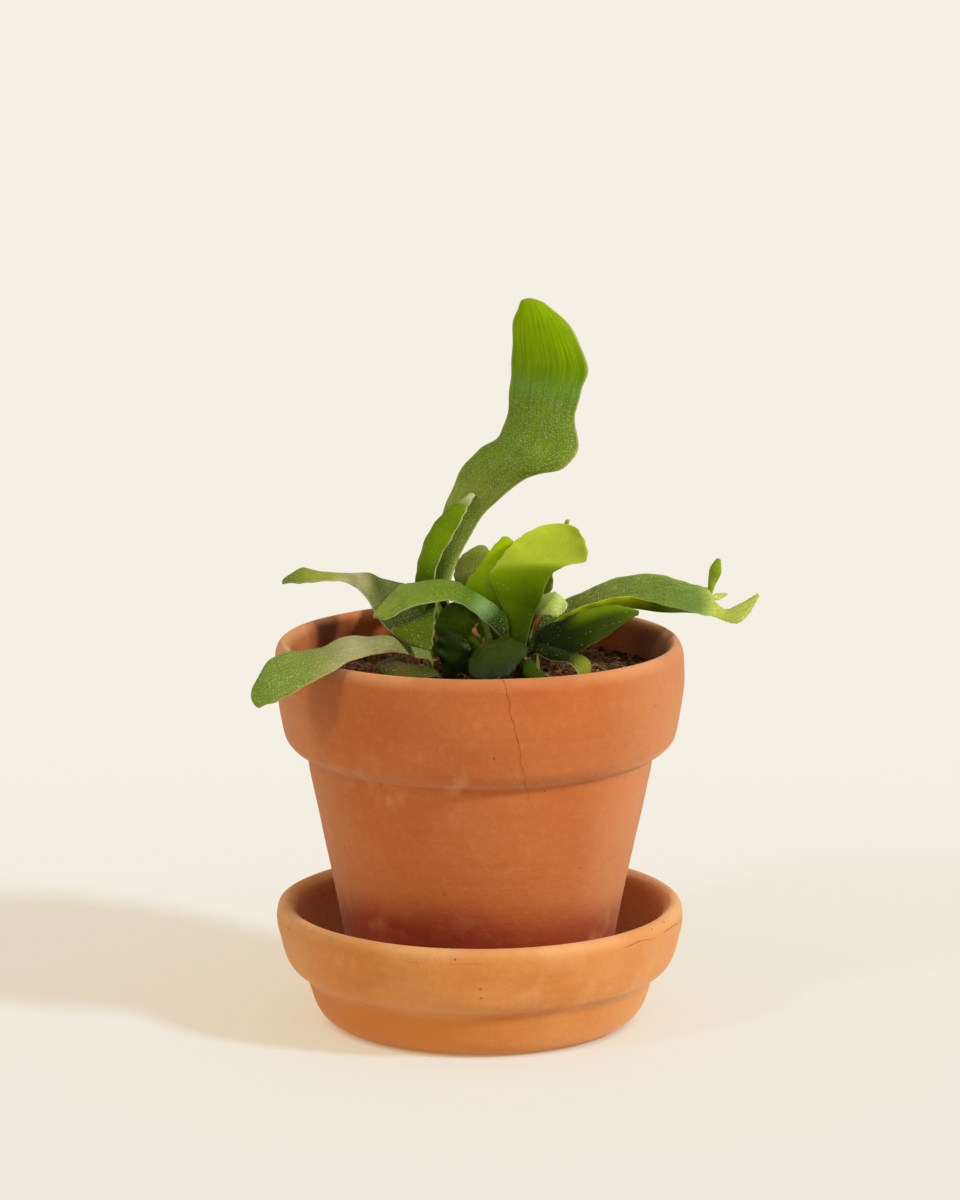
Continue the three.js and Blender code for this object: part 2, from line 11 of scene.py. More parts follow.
import bmesh
import bpy
import numpy as np
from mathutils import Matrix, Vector


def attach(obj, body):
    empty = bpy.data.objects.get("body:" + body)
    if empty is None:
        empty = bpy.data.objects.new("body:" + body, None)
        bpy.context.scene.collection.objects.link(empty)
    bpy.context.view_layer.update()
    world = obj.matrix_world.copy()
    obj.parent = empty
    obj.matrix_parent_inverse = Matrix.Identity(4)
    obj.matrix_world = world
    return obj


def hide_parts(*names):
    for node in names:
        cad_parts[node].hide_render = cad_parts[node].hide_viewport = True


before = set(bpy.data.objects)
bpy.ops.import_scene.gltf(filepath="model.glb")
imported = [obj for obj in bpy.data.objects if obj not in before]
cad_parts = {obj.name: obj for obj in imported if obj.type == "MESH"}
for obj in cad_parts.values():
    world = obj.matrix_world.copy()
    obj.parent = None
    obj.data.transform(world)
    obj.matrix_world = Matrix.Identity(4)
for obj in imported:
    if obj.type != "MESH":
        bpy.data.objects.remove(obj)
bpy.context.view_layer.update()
MM = 0.001                       # one millimetre, in Blender's metres
print("nodes in the frame:", len(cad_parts))

# %% [markdown]
# ## Camera
#
# The picture is taken from a little above the rim, from far off with a long lens, so that the
# pot's sides stay almost parallel. A long lens needs distance, and both are set here.

# %% Place the camera
CAMERA_PLACE = (0, -1.430, 0.410)
CAMERA_TILT = math.radians(10.85)        # how far it looks down
CAMERA_LENS = 138


def make_camera():
    camera = bpy.data.objects.new("camera", bpy.data.cameras.new("camera"))
    camera.location = CAMERA_PLACE
    camera.rotation_euler = (math.pi / 2 - CAMERA_TILT, 0, 0)
    camera.data.lens = CAMERA_LENS
    bpy.context.collection.objects.link(camera)
    bpy.context.scene.camera = camera
    print("camera lens:", camera.data.lens)


make_camera()

# %% [markdown]
# ## Light
#
# Studio light: a broad lamp from the front right does most of the work, and a weaker one from
# the front left opens the shadows. Two suns with a wide angle give the same soft shadows
# wherever a leaf stands. A pale world fills the rest. The world has two strengths, one that
# lights and one that the camera sees, so that the background keeps its colour.

# %% Set up the lamps and the world
KEY_FROM = (0.734, -0.407, 0.545)
KEY_POWER = 2.3
FILL_FROM = (-0.610, -0.589, 0.530)
FILL_POWER = 0.54
LAMP_ANGLE = math.radians(8)
WORLD_LIGHT = 0.62


def tone(red, green, blue):
    """A screen colour, given 0 to 255, as the linear colour that shaders use."""
    linear = []
    for value in (red, green, blue):
        share = value / 255
        linear.append(share / 12.92 if share <= 0.04045 else ((share + 0.055) / 1.055) ** 2.4)
    return (*linear, 1)


BACKGROUND = tone(243, 239, 226)


def make_sun(name, source, power):
    lamp = bpy.data.lights.new(name, "SUN")
    lamp.energy = power
    lamp.angle = LAMP_ANGLE
    sun = bpy.data.objects.new(name, lamp)
    sun.rotation_euler = Vector(source).to_track_quat("Z", "Y").to_euler()
    bpy.context.collection.objects.link(sun)


def make_world():
    world = bpy.data.worlds.new("studio")
    world.use_nodes = True
    nodes, links = world.node_tree.nodes, world.node_tree.links
    light = nodes["Background"]
    light.inputs["Color"].default_value = BACKGROUND
    light.inputs["Strength"].default_value = WORLD_LIGHT
    seen = nodes.new("ShaderNodeBackground")
    seen.inputs["Color"].default_value = BACKGROUND
    choice = nodes.new("ShaderNodeMixShader")
    path = nodes.new("ShaderNodeLightPath")
    links.new(path.outputs["Is Camera Ray"], choice.inputs["Fac"])
    links.new(light.outputs["Background"], choice.inputs[1])
    links.new(seen.outputs["Background"], choice.inputs[2])
    links.new(choice.outputs["Shader"], nodes["World Output"].inputs["Surface"])
    bpy.context.scene.world = world


make_sun("key_light", KEY_FROM, KEY_POWER)
make_sun("fill_light", FILL_FROM, FILL_POWER)
make_world()
bpy.context.scene.view_settings.view_transform = "Standard"
print("lamps:", [lamp.name for lamp in bpy.data.lights])

# %% [markdown]
# ## Wiring shaders
#
# Every finish below is a small graph of nodes. A helper that adds a node, sets its values and
# joins its inputs in one call keeps those graphs short enough to read. Most start from a noise,
# whose values gather round 0.5. A ramp from a little under 0.5 to a little over it cuts the noise
# into soft patches, and the closer its two ends are, the harder the edges of the patches.

# %% A helper for shader graphs
class Wiring:
    """Adds nodes to one shader tree. A value is a number, a colour or another node's output."""

    def __init__(self, tree):
        self.tree = tree

    def add(self, kind, inputs=None, **settings):
        made = self.tree.nodes.new(kind)
        for key, value in settings.items():
            setattr(made, key, value)
        for key, value in (inputs or {}).items():
            if isinstance(value, bpy.types.NodeSocket):
                self.tree.links.new(value, made.inputs[key])
            else:
                made.inputs[key].default_value = value
        return made

    def place(self):
        return self.add("ShaderNodeTexCoord").outputs["Object"]

    def attribute(self, name):
        return self.add("ShaderNodeAttribute", attribute_name=name).outputs["Fac"]

    def stretch(self, place, by):
        scaled = self.add("ShaderNodeVectorMath", {0: place, 1: by}, operation="MULTIPLY")
        return scaled.outputs["Vector"]

    def axes(self, place):
        return self.add("ShaderNodeSeparateXYZ", {"Vector": place}).outputs

    def noise(self, place, scale, detail=3):
        inputs = {"Vector": place, "Scale": scale, "Detail": detail}
        return self.add("ShaderNodeTexNoise", inputs).outputs["Fac"]

    def calc(self, operation, first, second=0.0):
        return self.add("ShaderNodeMath", {0: first, 1: second}, operation=operation).outputs[0]

    def plus(self, first, second):
        return self.calc("ADD", first, second)

    def minus(self, first, second):
        return self.calc("SUBTRACT", first, second)

    def times(self, first, second):
        return self.calc("MULTIPLY", first, second)

    def larger(self, first, second):
        return self.calc("MAXIMUM", first, second)

    def ramp(self, value, start, end, low=0.0, high=1.0):
        """Turns value smoothly from low at start to high at end."""
        inputs = {"Value": value, "From Min": start, "From Max": end, "To Min": low, "To Max": high}
        made = self.add("ShaderNodeMapRange", inputs, interpolation_type="SMOOTHSTEP")
        return made.outputs["Result"]

    def mix(self, share, first, second, way="MIX"):
        inputs = {0: share, 6: first, 7: second}
        return self.add("ShaderNodeMix", inputs, data_type="RGBA", blend_type=way).outputs[2]

    def bump(self, height, distance):
        inputs = {"Height": height, "Distance": distance}
        return self.add("ShaderNodeBump", inputs).outputs["Normal"]

    def group(self, group, inputs):
        return self.add("ShaderNodeGroup", inputs, node_tree=group).outputs


def shader_group(name, inputs, outputs):
    """A new shader group with its wiring, its input sockets and its output node."""
    group = bpy.data.node_groups.new(name, "ShaderNodeTree")
    for label, kind in inputs.items():
        group.interface.new_socket(name=label, in_out="INPUT", socket_type=kind)
    for label, kind in outputs.items():
        group.interface.new_socket(name=label, in_out="OUTPUT", socket_type=kind)
    wiring = Wiring(group)
    return group, wiring, wiring.add("NodeGroupInput").outputs


def finish_group(wiring, results):
    wiring.add("NodeGroupOutput", results)


def new_material(name, constants):
    """A material, its wiring and its Principled shader with the given sockets set."""
    material = bpy.data.materials.new(name)
    material.use_nodes = True
    shader = material.node_tree.nodes["Principled BSDF"]
    for label, value in constants.items():
        shader.inputs[label].default_value = value
    return material, Wiring(material.node_tree), shader


def feed(wiring, shader, values):
    for label, value in values.items():
        wiring.tree.links.new(value, shader.inputs[label])


COLOUR = "NodeSocketColor"
NUMBER = "NodeSocketFloat"
print("wiring helper ready")

# %% [markdown]
# ## Floor
#
# The plant stands on a plain pale table that runs on to the horizon. Its shadows are weak and
# warm. A surface that glows a little by itself and reflects the rest does that: the glow is
# painted light, what is left in the shadow, and a painted contact shadow dims it round the
# saucer's foot.

# %% Make the floor
FLOOR_RADIUS = 8.5
FLOOR_SIDES = 96
FLOOR_REFLECTS = (0.262, 0.388, 0.516, 1)
FLOOR_NEAR = -0.2                # y where the glow is weakest, in front of the plant
FLOOR_FAR = 0.5                  # y where it is strongest
# painted light: the table's glow, weaker in front of the plant
GLOW_NEAR = (0.606, 0.428, 0.240, 1)
GLOW_FAR = (0.630, 0.475, 0.276, 1)
CONTACT_SHADOW_GLOW = (0.30, 0.11, 0.02, 1)      # the glow in the painted contact shadow round the saucer's foot
FOOT_RADIUS = 0.0455             # where the saucer's foot meets the table
SHADE_REACH = 0.006              # how far the painted contact shadow reaches from there
SHADE_SHARE = 0.8


def make_floor():
    turns = np.linspace(0, 2 * math.pi, FLOOR_SIDES, endpoint=False)
    points = [(FLOOR_RADIUS * math.cos(t), FLOOR_RADIUS * math.sin(t), 0) for t in turns]
    mesh = bpy.data.meshes.new("floor")
    mesh.from_pydata(points, [], [range(FLOOR_SIDES)])
    material, wiring, shader = new_material("pale_table", {
        "Base Color": FLOOR_REFLECTS, "Roughness": 1.0, "Specular IOR Level": 0.0,
        "Emission Strength": 1,
    })
    place = wiring.place()
    away = wiring.ramp(wiring.axes(place)["Y"], FLOOR_NEAR, FLOOR_FAR)
    glow = wiring.mix(away, GLOW_NEAR, GLOW_FAR)
    radius = wiring.add("ShaderNodeVectorMath", {0: place}, operation="LENGTH").outputs["Value"]
    # painted contact shadow: the glow dims near the saucer's foot
    contact_shadow = wiring.ramp(radius, FOOT_RADIUS + SHADE_REACH, FOOT_RADIUS, 0, SHADE_SHARE)
    feed(wiring, shader, {"Emission Color": wiring.mix(contact_shadow, glow, CONTACT_SHADOW_GLOW)})
    mesh.materials.append(material)
    floor = bpy.data.objects.new("floor", mesh)
    bpy.context.collection.objects.link(floor)
    print("floor radius:", FLOOR_RADIUS)


make_floor()

# %% [markdown]
# ## Smooth curves and meshes
#
# Profiles and frond edges are given by a few points. A spline through them fills in the rest.
# The spline is the same kind as in the source of the solids, so a frond lies where its solid is.

# %% Helpers for curves and meshes
def spline(points, shares):
    """Places on the smooth curve through points. Share 0 is the first point and 1 the last."""
    points = np.asarray(points, float)
    padded = np.vstack([2 * points[0] - points[1], points, 2 * points[-1] - points[-2]])
    place = np.clip(shares, 0, 1) * (len(points) - 1)
    span = np.minimum(place.astype(int), len(points) - 2)
    t = (place - span)[:, None]
    before, start, end, after = (padded[span + offset] for offset in range(4))

    def gap(first, second):
        return np.maximum(np.linalg.norm(second - first, axis=1)[:, None] ** 0.5, 1e-4)

    a, b, c = gap(before, start), gap(start, end), gap(end, after)
    leave = ((start - before) / a - (end - before) / (a + b) + (end - start) / b) * b
    arrive = ((end - start) / b - (after - start) / (b + c) + (after - end) / c) * b
    cubic = 2 * start - 2 * end + leave + arrive
    square = -3 * start + 3 * end - 2 * leave - arrive
    return start + t * (leave + t * (square + t * cubic))


def new_piece(name, points, faces, material, attributes=None):
    """A smooth-shaded mesh object at the origin. Attributes hold one number for each point."""
    mesh = bpy.data.meshes.new(name)
    mesh.from_pydata(np.asarray(points).tolist(), [], faces)
    for label, values in (attributes or {}).items():
        layer = mesh.attributes.new(label, "FLOAT", "POINT")
        layer.data.foreach_set("value", np.asarray(values, np.float32))
    mesh.shade_smooth()
    if material:
        mesh.materials.append(material)
    piece = bpy.data.objects.new(name, mesh)
    bpy.context.collection.objects.link(piece)
    return piece


def dress(piece, slot, *nodes):
    """Hands a finished piece to the frame: it stays with the plant and stands for the nodes."""
    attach(piece, "root")
    if nodes:
        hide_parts(*nodes)
    return piece


print("spline midpoint:", spline([(0, 0, 0), (1, 0, 0), (2, 1, 0)], np.array([0.5]))[0])

# %% [markdown]
# ## Shared effects
#
# Fine speckles come back on the clay as iron spots and pits, and on the leaves as the pale dots
# of their hairs. One node group draws them all: a cell pattern keeps a small disc round each
# cell's centre, and drops some of the discs by a random number.

# %% A group that draws speckles
SPECKLE_CORE = 0.55              # share of a disc's radius that is not faded


def make_speckles():
    group, wiring, given = shader_group(
        "speckles",
        {"Per Metre": NUMBER, "Size": NUMBER, "Kept": NUMBER},
        {"Mask": NUMBER},
    )
    cells = wiring.add("ShaderNodeTexVoronoi", {"Vector": wiring.place(), "Scale": given["Per Metre"]})
    core = wiring.times(given["Size"], SPECKLE_CORE)
    disc = wiring.ramp(cells.outputs["Distance"], given["Size"], core)
    chance = wiring.add("ShaderNodeSeparateColor", {"Color": cells.outputs["Color"]}).outputs["Red"]
    kept = wiring.calc("LESS_THAN", chance, given["Kept"])
    finish_group(wiring, {"Mask": wiring.times(disc, kept)})
    return group


SPECKLES = make_speckles()
print("group:", SPECKLES.name)

# %% [markdown]
# ## Clay
#
# A clay pot is never one colour. The fired body is mottled, with faint level streaks from the
# throwing. Walls that face sideways are paler, a painted highlight, grime and painted shade sit
# at the step of the wall, salts have bloomed out as pale clouds, the lip is worn and has a
# painted highlight, and the foot stays damp and dark where it stands in the saucer. Inside, the
# wall is darker from soil stain and painted shade. All of this follows the place on the pot, so
# it reads Object coordinates. One group makes it, with a short function for each effect, and
# the pot and the saucer set their own colours in it.

# %% Patterns that the effects on clay share
CLOUD_SCALE = 34                 # scales of the noises: the higher, the finer
STREAK_SCALE = 30
STREAK_FLATNESS = 16             # how many times longer than high a streak is
COARSE_SCALE = 420
GRAIN_SCALE = 1500


def clay_patterns(wiring):
    """Where a point of the wall is, which way it faces, and the noises that vary its colour."""
    place = wiring.place()
    axes = wiring.axes(place)
    level = wiring.stretch(place, (1, 1, 0))
    outwards = wiring.add("ShaderNodeVectorMath", {0: level}, operation="NORMALIZE")
    flat = wiring.stretch(place, (1, 1, STREAK_FLATNESS))
    return SimpleNamespace(
        place=place, x=axes["X"], height=axes["Z"],
        sideways=wiring.axes(outwards.outputs["Vector"])["X"],
        inside=wiring.attribute("inside"),
        clouds=wiring.ramp(wiring.noise(place, CLOUD_SCALE, 5), 0.38, 0.66),
        streaks=wiring.noise(flat, STREAK_SCALE, 4),
        coarse=wiring.noise(place, COARSE_SCALE, 4),
        grain=wiring.noise(place, GRAIN_SCALE, 3),
    )


print("noise scales:", CLOUD_SCALE, STREAK_SCALE, COARSE_SCALE, GRAIN_SCALE)

# %% The body of the clay and the painted highlight on its sides
CLOUD_SHARE = 0.55
STREAK_SHARE = 0.2
SPOT_SCALE = 95
SPOT_SHARE = 0.12
PALE_GRAIN_SHARE = 0.1
SIDE_HIGHLIGHT_FROM = 0.5                   # how far a wall faces +X, the lit side, before a painted highlight makes it paler
SIDE_HIGHLIGHT_SHARE = 0.34
LEFT_HIGHLIGHT_FROM = 0.65                 # the same for -X, where the painted highlight is weaker
LEFT_HIGHLIGHT_SHARE = 0.17


def fired_body(wiring, given, at):
    """The mottled clay itself: baked clouds and streaks, dark spots and pale grains."""
    colour = wiring.mix(wiring.times(at.clouds, CLOUD_SHARE), given["Body"], given["Baked"])
    colour = wiring.mix(wiring.ramp(at.streaks, 0.35, 0.7, 0, STREAK_SHARE), colour, given["Baked"])
    spots = wiring.ramp(wiring.noise(at.place, SPOT_SCALE, 6), 0.56, 0.74)
    colour = wiring.mix(wiring.times(spots, SPOT_SHARE), colour, given["Damp"])
    return wiring.mix(wiring.ramp(at.coarse, 0.45, 0.8, 0, PALE_GRAIN_SHARE), colour, given["Bloom"])


def painted_side_highlights(wiring, given, at, colour):
    """Painted highlight: outer walls that face sideways are paler, those on the bright side the most.
    """
    bright = wiring.ramp(at.sideways, SIDE_HIGHLIGHT_FROM, 1, 0, SIDE_HIGHLIGHT_SHARE)
    dull = wiring.ramp(at.sideways, -LEFT_HIGHLIGHT_FROM, -1, 0, LEFT_HIGHLIGHT_SHARE)
    side_highlight = wiring.times(wiring.larger(bright, dull), wiring.minus(1.0, at.inside))
    return wiring.mix(wiring.times(side_highlight, given["Dryness"]), colour, given["Bloom"])


# where the painted highlight on each side sets in
print("dry from:", SIDE_HIGHLIGHT_FROM, "dull from:", LEFT_HIGHLIGHT_FROM)

# %% Stain and painted shade inside, grime and painted shade at the step, painted shade on the foot
STAIN_AND_SHADE = (0.42, 0.4, 0.4, 1)      # what is left of the clay's colour in soil stain and painted shade
STAIN_AND_SHADE_STARTS = (-0.64, -0.74)    # how far the inner wall faces -X where a patch of stain and painted shade fades in
STAIN_AND_SHADE_ENDS = (-0.92, -0.84)      # and where it fades out
FAR_STAIN_AND_SHADE_STARTS = (0.76, 0.9)   # and where stain and painted shade on the side of +X fade in
STEP_HALF_WIDTH = 0.0026         # how far grime and painted shade reach from the step of the wall
STEP_CORE = 0.0002
STEP_GRIME_AND_SHADE_SHARE = 0.26
FOOT_SHADE_FADE = 0.008               # height over which the painted shade on the foot fades into the wall
FOOT_SHADE_SHARE = 0.8
FOOT_SHADE_SIDE = (0.04, -0.03)       # x where the painted shade on the foot fades in, and where it is full


def soil_stain_and_shade(wiring, given, at):
    """Where the inner wall is darker from soil stain and painted shade: a patch towards -X, and all
    that faces +X.
    """
    starts = wiring.ramp(at.sideways, *STAIN_AND_SHADE_STARTS)
    patch = wiring.times(starts, wiring.ramp(at.sideways, *STAIN_AND_SHADE_ENDS))
    sides = wiring.larger(patch, wiring.ramp(at.sideways, *FAR_STAIN_AND_SHADE_STARTS))
    return wiring.times(wiring.times(at.inside, sides), given["Stain And Shade Inside"])


def step_grime_and_shade(wiring, given, at, colour):
    # grime and painted shade: darker at the step of the wall, where shade falls under the collar
    from_step = wiring.calc("ABSOLUTE", wiring.minus(at.height, given["Step Height"]))
    near = wiring.ramp(from_step, STEP_HALF_WIDTH, STEP_CORE, 0, STEP_GRIME_AND_SHADE_SHARE)
    return wiring.mix(wiring.times(near, at.clouds), colour, given["Damp"])


def painted_foot_shade(wiring, given, at, colour):
    """Painted shade on the foot, in the baked colour, up to a height of its own and away from the
    bright side.
    """
    low = wiring.ramp(wiring.minus(given["Shaded Foot"], at.height), 0, FOOT_SHADE_FADE, 0, FOOT_SHADE_SHARE)
    foot_shade = wiring.times(low, wiring.ramp(at.x, *FOOT_SHADE_SIDE))
    return wiring.mix(foot_shade, colour, given["Baked"])


print("grime reaches in mm:", STEP_HALF_WIDTH / MM)

# %% Damp and salts
DAMP_SAG = 0.12                  # the damp stands lower to the sides, by this share of the way
DAMP_RAGGED = 0.003              # how far its line strays up and down
DAMP_RAGGED_SCALE = 31
DAMP_STARTS = 0.012              # height above the damp's line where it fades in
DAMP_FULL = -0.004
DAMP_SHARE = 0.97
SALT_REACH = 0.012               # how far above and below the damp's line the salts bloom
SALT_SCALE = 90
SALT_FRONT_SHARE = 0.16          # strength of the salts along that line, on the front and back
SALT_SIDE_SHARE = 0.6            # and on the sides
STREWN_SCALE = 22
STREWN_SHARE = 0.75              # strength of the salts away from the damp


def above_damp(wiring, given, at):
    """The height above the damp's ragged line, which drops faster towards the bright side."""
    sagging = wiring.times(wiring.calc("ABSOLUTE", at.x), DAMP_SAG)
    drying = wiring.times(at.x, 2 * DAMP_SAG)
    level = wiring.plus(at.height, wiring.larger(sagging, drying))
    unrest = wiring.noise(at.place, DAMP_RAGGED_SCALE, 6)
    ragged = wiring.plus(level, wiring.ramp(unrest, 0.3, 0.7, -DAMP_RAGGED, DAMP_RAGGED))
    return wiring.minus(ragged, given["Damp Height"])


def dampness(wiring, given, at, above):
    low = wiring.ramp(above, DAMP_STARTS, DAMP_FULL)
    return wiring.larger(low, wiring.times(at.inside, given["Damp Inside"]))


def salt_bloom(wiring, given, at, above, colour):
    """Salts bloom along the damp's line, most to the sides, and in a few clouds elsewhere."""
    line = wiring.times(wiring.ramp(above, -SALT_REACH, 0.0), wiring.ramp(above, SALT_REACH, 0.0))
    salty = wiring.ramp(wiring.noise(at.place, SALT_SCALE, 7), 0.5, 0.7)
    to_the_sides = wiring.ramp(wiring.calc("ABSOLUTE", at.sideways), 0.35, 0.8,
                               SALT_FRONT_SHARE, SALT_SIDE_SHARE)
    patches = wiring.times(wiring.times(line, salty), to_the_sides)
    clouds = wiring.ramp(wiring.noise(at.place, STREWN_SCALE, 6), 0.54, 0.72)
    strewn = wiring.times(clouds, salty)
    bloom = wiring.larger(patches, wiring.times(strewn, STREWN_SHARE))
    return wiring.mix(wiring.times(bloom, given["Bloom Share"]), colour, given["Bloom"])


print("salts reach in mm:", SALT_REACH / MM)

# %% A group for weathered clay
WEAR_AND_HIGHLIGHT_STARTS = 0.0045             # how far below the lip's top the wear and painted highlight start
WEAR_AND_HIGHLIGHT_FULL = 0.0005
WEAR_AND_HIGHLIGHT_SHARE = 0.5
WEAR_AND_HIGHLIGHT_BAKED_SHARE = 0.2           # what is left of it where the clay is baked
DARK_SPECKS = {"Per Metre": 260, "Size": 0.13, "Kept": 0.14}
DARK_SPECK_SHARE = 0.55
PALE_SPECKS = {"Per Metre": 190, "Size": 0.06, "Kept": 0.2}
PALE_SPECK_SHARE = 0.18
RELIEF_OF_GRAIN = 0.5            # how much each pattern adds to the relief
RELIEF_OF_COARSE = 0.7
RELIEF_OF_STREAKS = 0.55
RELIEF_OF_SPECKS = -0.6
DRY_ROUGHNESS = 0.92
DAMP_ROUGHNESS = 0.75


def worn_and_highlit_lip(wiring, given, at, stain_and_shade, colour):
    # wear and a painted highlight on the top of the lip
    below = wiring.minus(given["Lip Height"], at.height)
    near = wiring.ramp(below, WEAR_AND_HIGHLIGHT_STARTS, WEAR_AND_HIGHLIGHT_FULL)
    wear_and_highlight = wiring.times(near, wiring.ramp(at.clouds, 0, 1, WEAR_AND_HIGHLIGHT_SHARE, WEAR_AND_HIGHLIGHT_BAKED_SHARE))
    return wiring.mix(wiring.times(wear_and_highlight, wiring.minus(1.0, stain_and_shade)), colour, given["Bloom"])


def clay_relief(wiring, at, specks):
    relief = wiring.times(at.grain, RELIEF_OF_GRAIN)
    for pattern, share in ((at.coarse, RELIEF_OF_COARSE), (specks, RELIEF_OF_SPECKS),
                           (at.streaks, RELIEF_OF_STREAKS)):
        relief = wiring.plus(relief, wiring.times(pattern, share))
    return relief


def make_clay_group():
    colours = ("Body", "Baked", "Bloom", "Damp")
    numbers = ("Damp Height", "Damp Inside", "Bloom Share", "Lip Height", "Dryness", "Shaded Foot",
               "Step Height", "Stain And Shade Inside")
    group, wiring, given = shader_group(
        "weathered clay",
        dict.fromkeys(colours, COLOUR) | dict.fromkeys(numbers, NUMBER),
        {"Color": COLOUR, "Roughness": NUMBER, "Height": NUMBER},
    )
    at = clay_patterns(wiring)
    colour = painted_side_highlights(wiring, given, at, fired_body(wiring, given, at))
    stain_and_shade = soil_stain_and_shade(wiring, given, at)
    colour = wiring.mix(stain_and_shade, colour, STAIN_AND_SHADE, "MULTIPLY")
    colour = step_grime_and_shade(wiring, given, at, colour)
    colour = painted_foot_shade(wiring, given, at, colour)
    above = above_damp(wiring, given, at)
    damp = dampness(wiring, given, at, above)
    colour = wiring.mix(wiring.times(damp, DAMP_SHARE), colour, given["Damp"])
    colour = salt_bloom(wiring, given, at, above, colour)
    colour = worn_and_highlit_lip(wiring, given, at, stain_and_shade, colour)
    specks = wiring.group(SPECKLES, DARK_SPECKS)["Mask"]
    colour = wiring.mix(wiring.times(specks, DARK_SPECK_SHARE), colour, given["Damp"])
    pale = wiring.group(SPECKLES, PALE_SPECKS)["Mask"]
    colour = wiring.mix(wiring.times(pale, PALE_SPECK_SHARE), colour, given["Bloom"])
    rough = wiring.ramp(damp, 0, 1, DRY_ROUGHNESS, DAMP_ROUGHNESS)
    relief = clay_relief(wiring, at, specks)
    finish_group(wiring, {"Color": colour, "Roughness": rough, "Height": relief})
    return group


CLAY = make_clay_group()
print("clay inputs:", [item.name for item in CLAY.interface.items_tree if item.in_out == "INPUT"])

# %% [markdown]
# ## Pot and saucer
#
# Both were shaped on a wheel, so both are a profile turned round the middle. The profile lists
# [radius, height], from the underside over the outside to the lip and down the inside. A spline
# rounds it, and a slow wave of a fraction of a millimetre keeps the ring from looking machined.

# %% Join rings of points
def ring_faces(rings, sides):
    """The faces between rings of points that lie one after the other."""
    faces = []
    for ring in range(rings - 1):
        low, high = ring * sides, (ring + 1) * sides
        for side in range(sides):
            after = (side + 1) % sides
            faces.append((low + side, low + after, high + after, high + side))
    return faces


def close_poles(piece):
    """Merges the points that meet on the axis or at a seam, and turns all faces outwards."""
    form = bmesh.new()
    form.from_mesh(piece.data)
    bmesh.ops.remove_doubles(form, verts=form.verts, dist=1e-6)
    bmesh.ops.recalc_face_normals(form, faces=form.faces)
    form.to_mesh(piece.data)
    form.free()


print("faces between two rings of four points:", len(ring_faces(2, 4)))

# %% Turn profiles
TURNS = 176
POINTS_PER_SPAN = 4
RING_WAVE = 0.00016              # how far the wall strays from a true ring
STEADY_RADIUS = 0.03             # radius within which it strays less and less


def unevenness(turn, height):
    """How far a hand-made wall strays outwards at an angle and a height."""
    slow = np.sin(2 * turn + 40 * height) + 0.6 * np.sin(3 * turn + 1.3 - 70 * height)
    quick = 0.35 * np.sin(7 * turn + 300 * height) + 0.3 * np.sin(11 * turn + 2 - 190 * height)
    return RING_WAVE * (slow + quick)


def turn_profile(name, profile, lip, material):
    """Turns a profile. Points past the lip, by their number in the profile, count as inside."""
    spans = len(profile) - 1
    shares = np.linspace(0, 1, spans * POINTS_PER_SPAN + 1)
    flat = spline([(radius, height, 0) for radius, height in profile], shares)
    turns = np.linspace(0, 2 * math.pi, TURNS, endpoint=False)
    turn, radius = np.meshgrid(turns, np.maximum(flat[:, 0], 0))
    height = np.repeat(flat[:, 1][:, None], TURNS, axis=1)
    stray = unevenness(turn, height) * np.minimum(1, radius / STEADY_RADIUS)
    points = np.stack([
        (radius + stray) * np.cos(turn), (radius + stray) * np.sin(turn), height + 0.6 * stray,
    ], axis=-1).reshape(-1, 3)
    inside = np.repeat(np.clip(shares * spans - lip, 0, 1), TURNS)
    piece = new_piece(name, points, ring_faces(len(shares), TURNS), material, {"inside": inside})
    close_poles(piece)
    return piece


print("ring wave in mm:", RING_WAVE / MM)

# %% [markdown]
# ### What the two clays share
#
# Both are matt, and a little sheen on the shader stands for the dust that whitens clay where
# light grazes it. Each has one dark sunken mark of its own, drawn over the group's colour.

# %% Finish a clay
CLAY_SHADER = {
    "Specular IOR Level": 0.2, "Sheen Weight": 0.32, "Sheen Roughness": 0.5,
    "Sheen Tint": tone(255, 222, 184),
}
CLAY_BUMP = 0.0003


def top_of(profile):
    return max(height for radius, height in profile)


def thin_line(wiring, off, half_width):
    """A line where off, the distance from its middle, is nought."""
    return wiring.ramp(wiring.calc("ABSOLUTE", off), half_width, half_width * 0.3)


def finish_clay(wiring, shader, clay, colour, mark, dark, share, depth):
    """Joins a clay to its shader, with a mark that is dark by a share and sunken by a depth."""
    colour = wiring.mix(wiring.times(mark, share), colour, dark)
    height = wiring.minus(clay["Height"], wiring.times(mark, depth))
    feed(wiring, shader, {"Base Color": colour, "Roughness": clay["Roughness"],
                          "Normal": wiring.bump(height, CLAY_BUMP)})


print("clay shader sets:", list(CLAY_SHADER))

# %% [markdown]
# ### The pot
#
# A hairline crack runs down the front of the collar. It is a thin dark line whose place across
# the pot depends on its height, so it is worked out from x and z, on the front half only.

# %% Make the pot
POT_PROFILE = [
    (0.006, 0.006), (0.0373, 0.006), (0.0385, 0.0072), (0.0476, 0.0505), (0.0544, 0.082),
    (0.0554, 0.087), (0.0576, 0.0884), (0.06, 0.0902), (0.0617, 0.0924), (0.0625, 0.0948),
    (0.0634, 0.099), (0.0642, 0.1035), (0.065, 0.1095), (0.065, 0.117), (0.0647, 0.1202),
    (0.0637, 0.1224), (0.0624, 0.1232), (0.0612, 0.1226), (0.0602, 0.1208), (0.0599, 0.1172),
    (0.0594, 0.1032), (0.0578, 0.097), (0.0515, 0.09), (0.0498, 0.087), (0.035, 0.016),
    (0.032, 0.012), (0.006, 0.012), (0.006, 0.006),
]
POT_LIP = 17                     # profile point from which the wall counts as inside
POT_STEP = 0.0868                # height where the collar starts
POT_BODY = tone(187, 103, 49)
POT_BAKED = tone(174, 87, 36)
POT_BLOOM = tone(220, 158, 108)
POT_DAMP = tone(148, 47, 10)
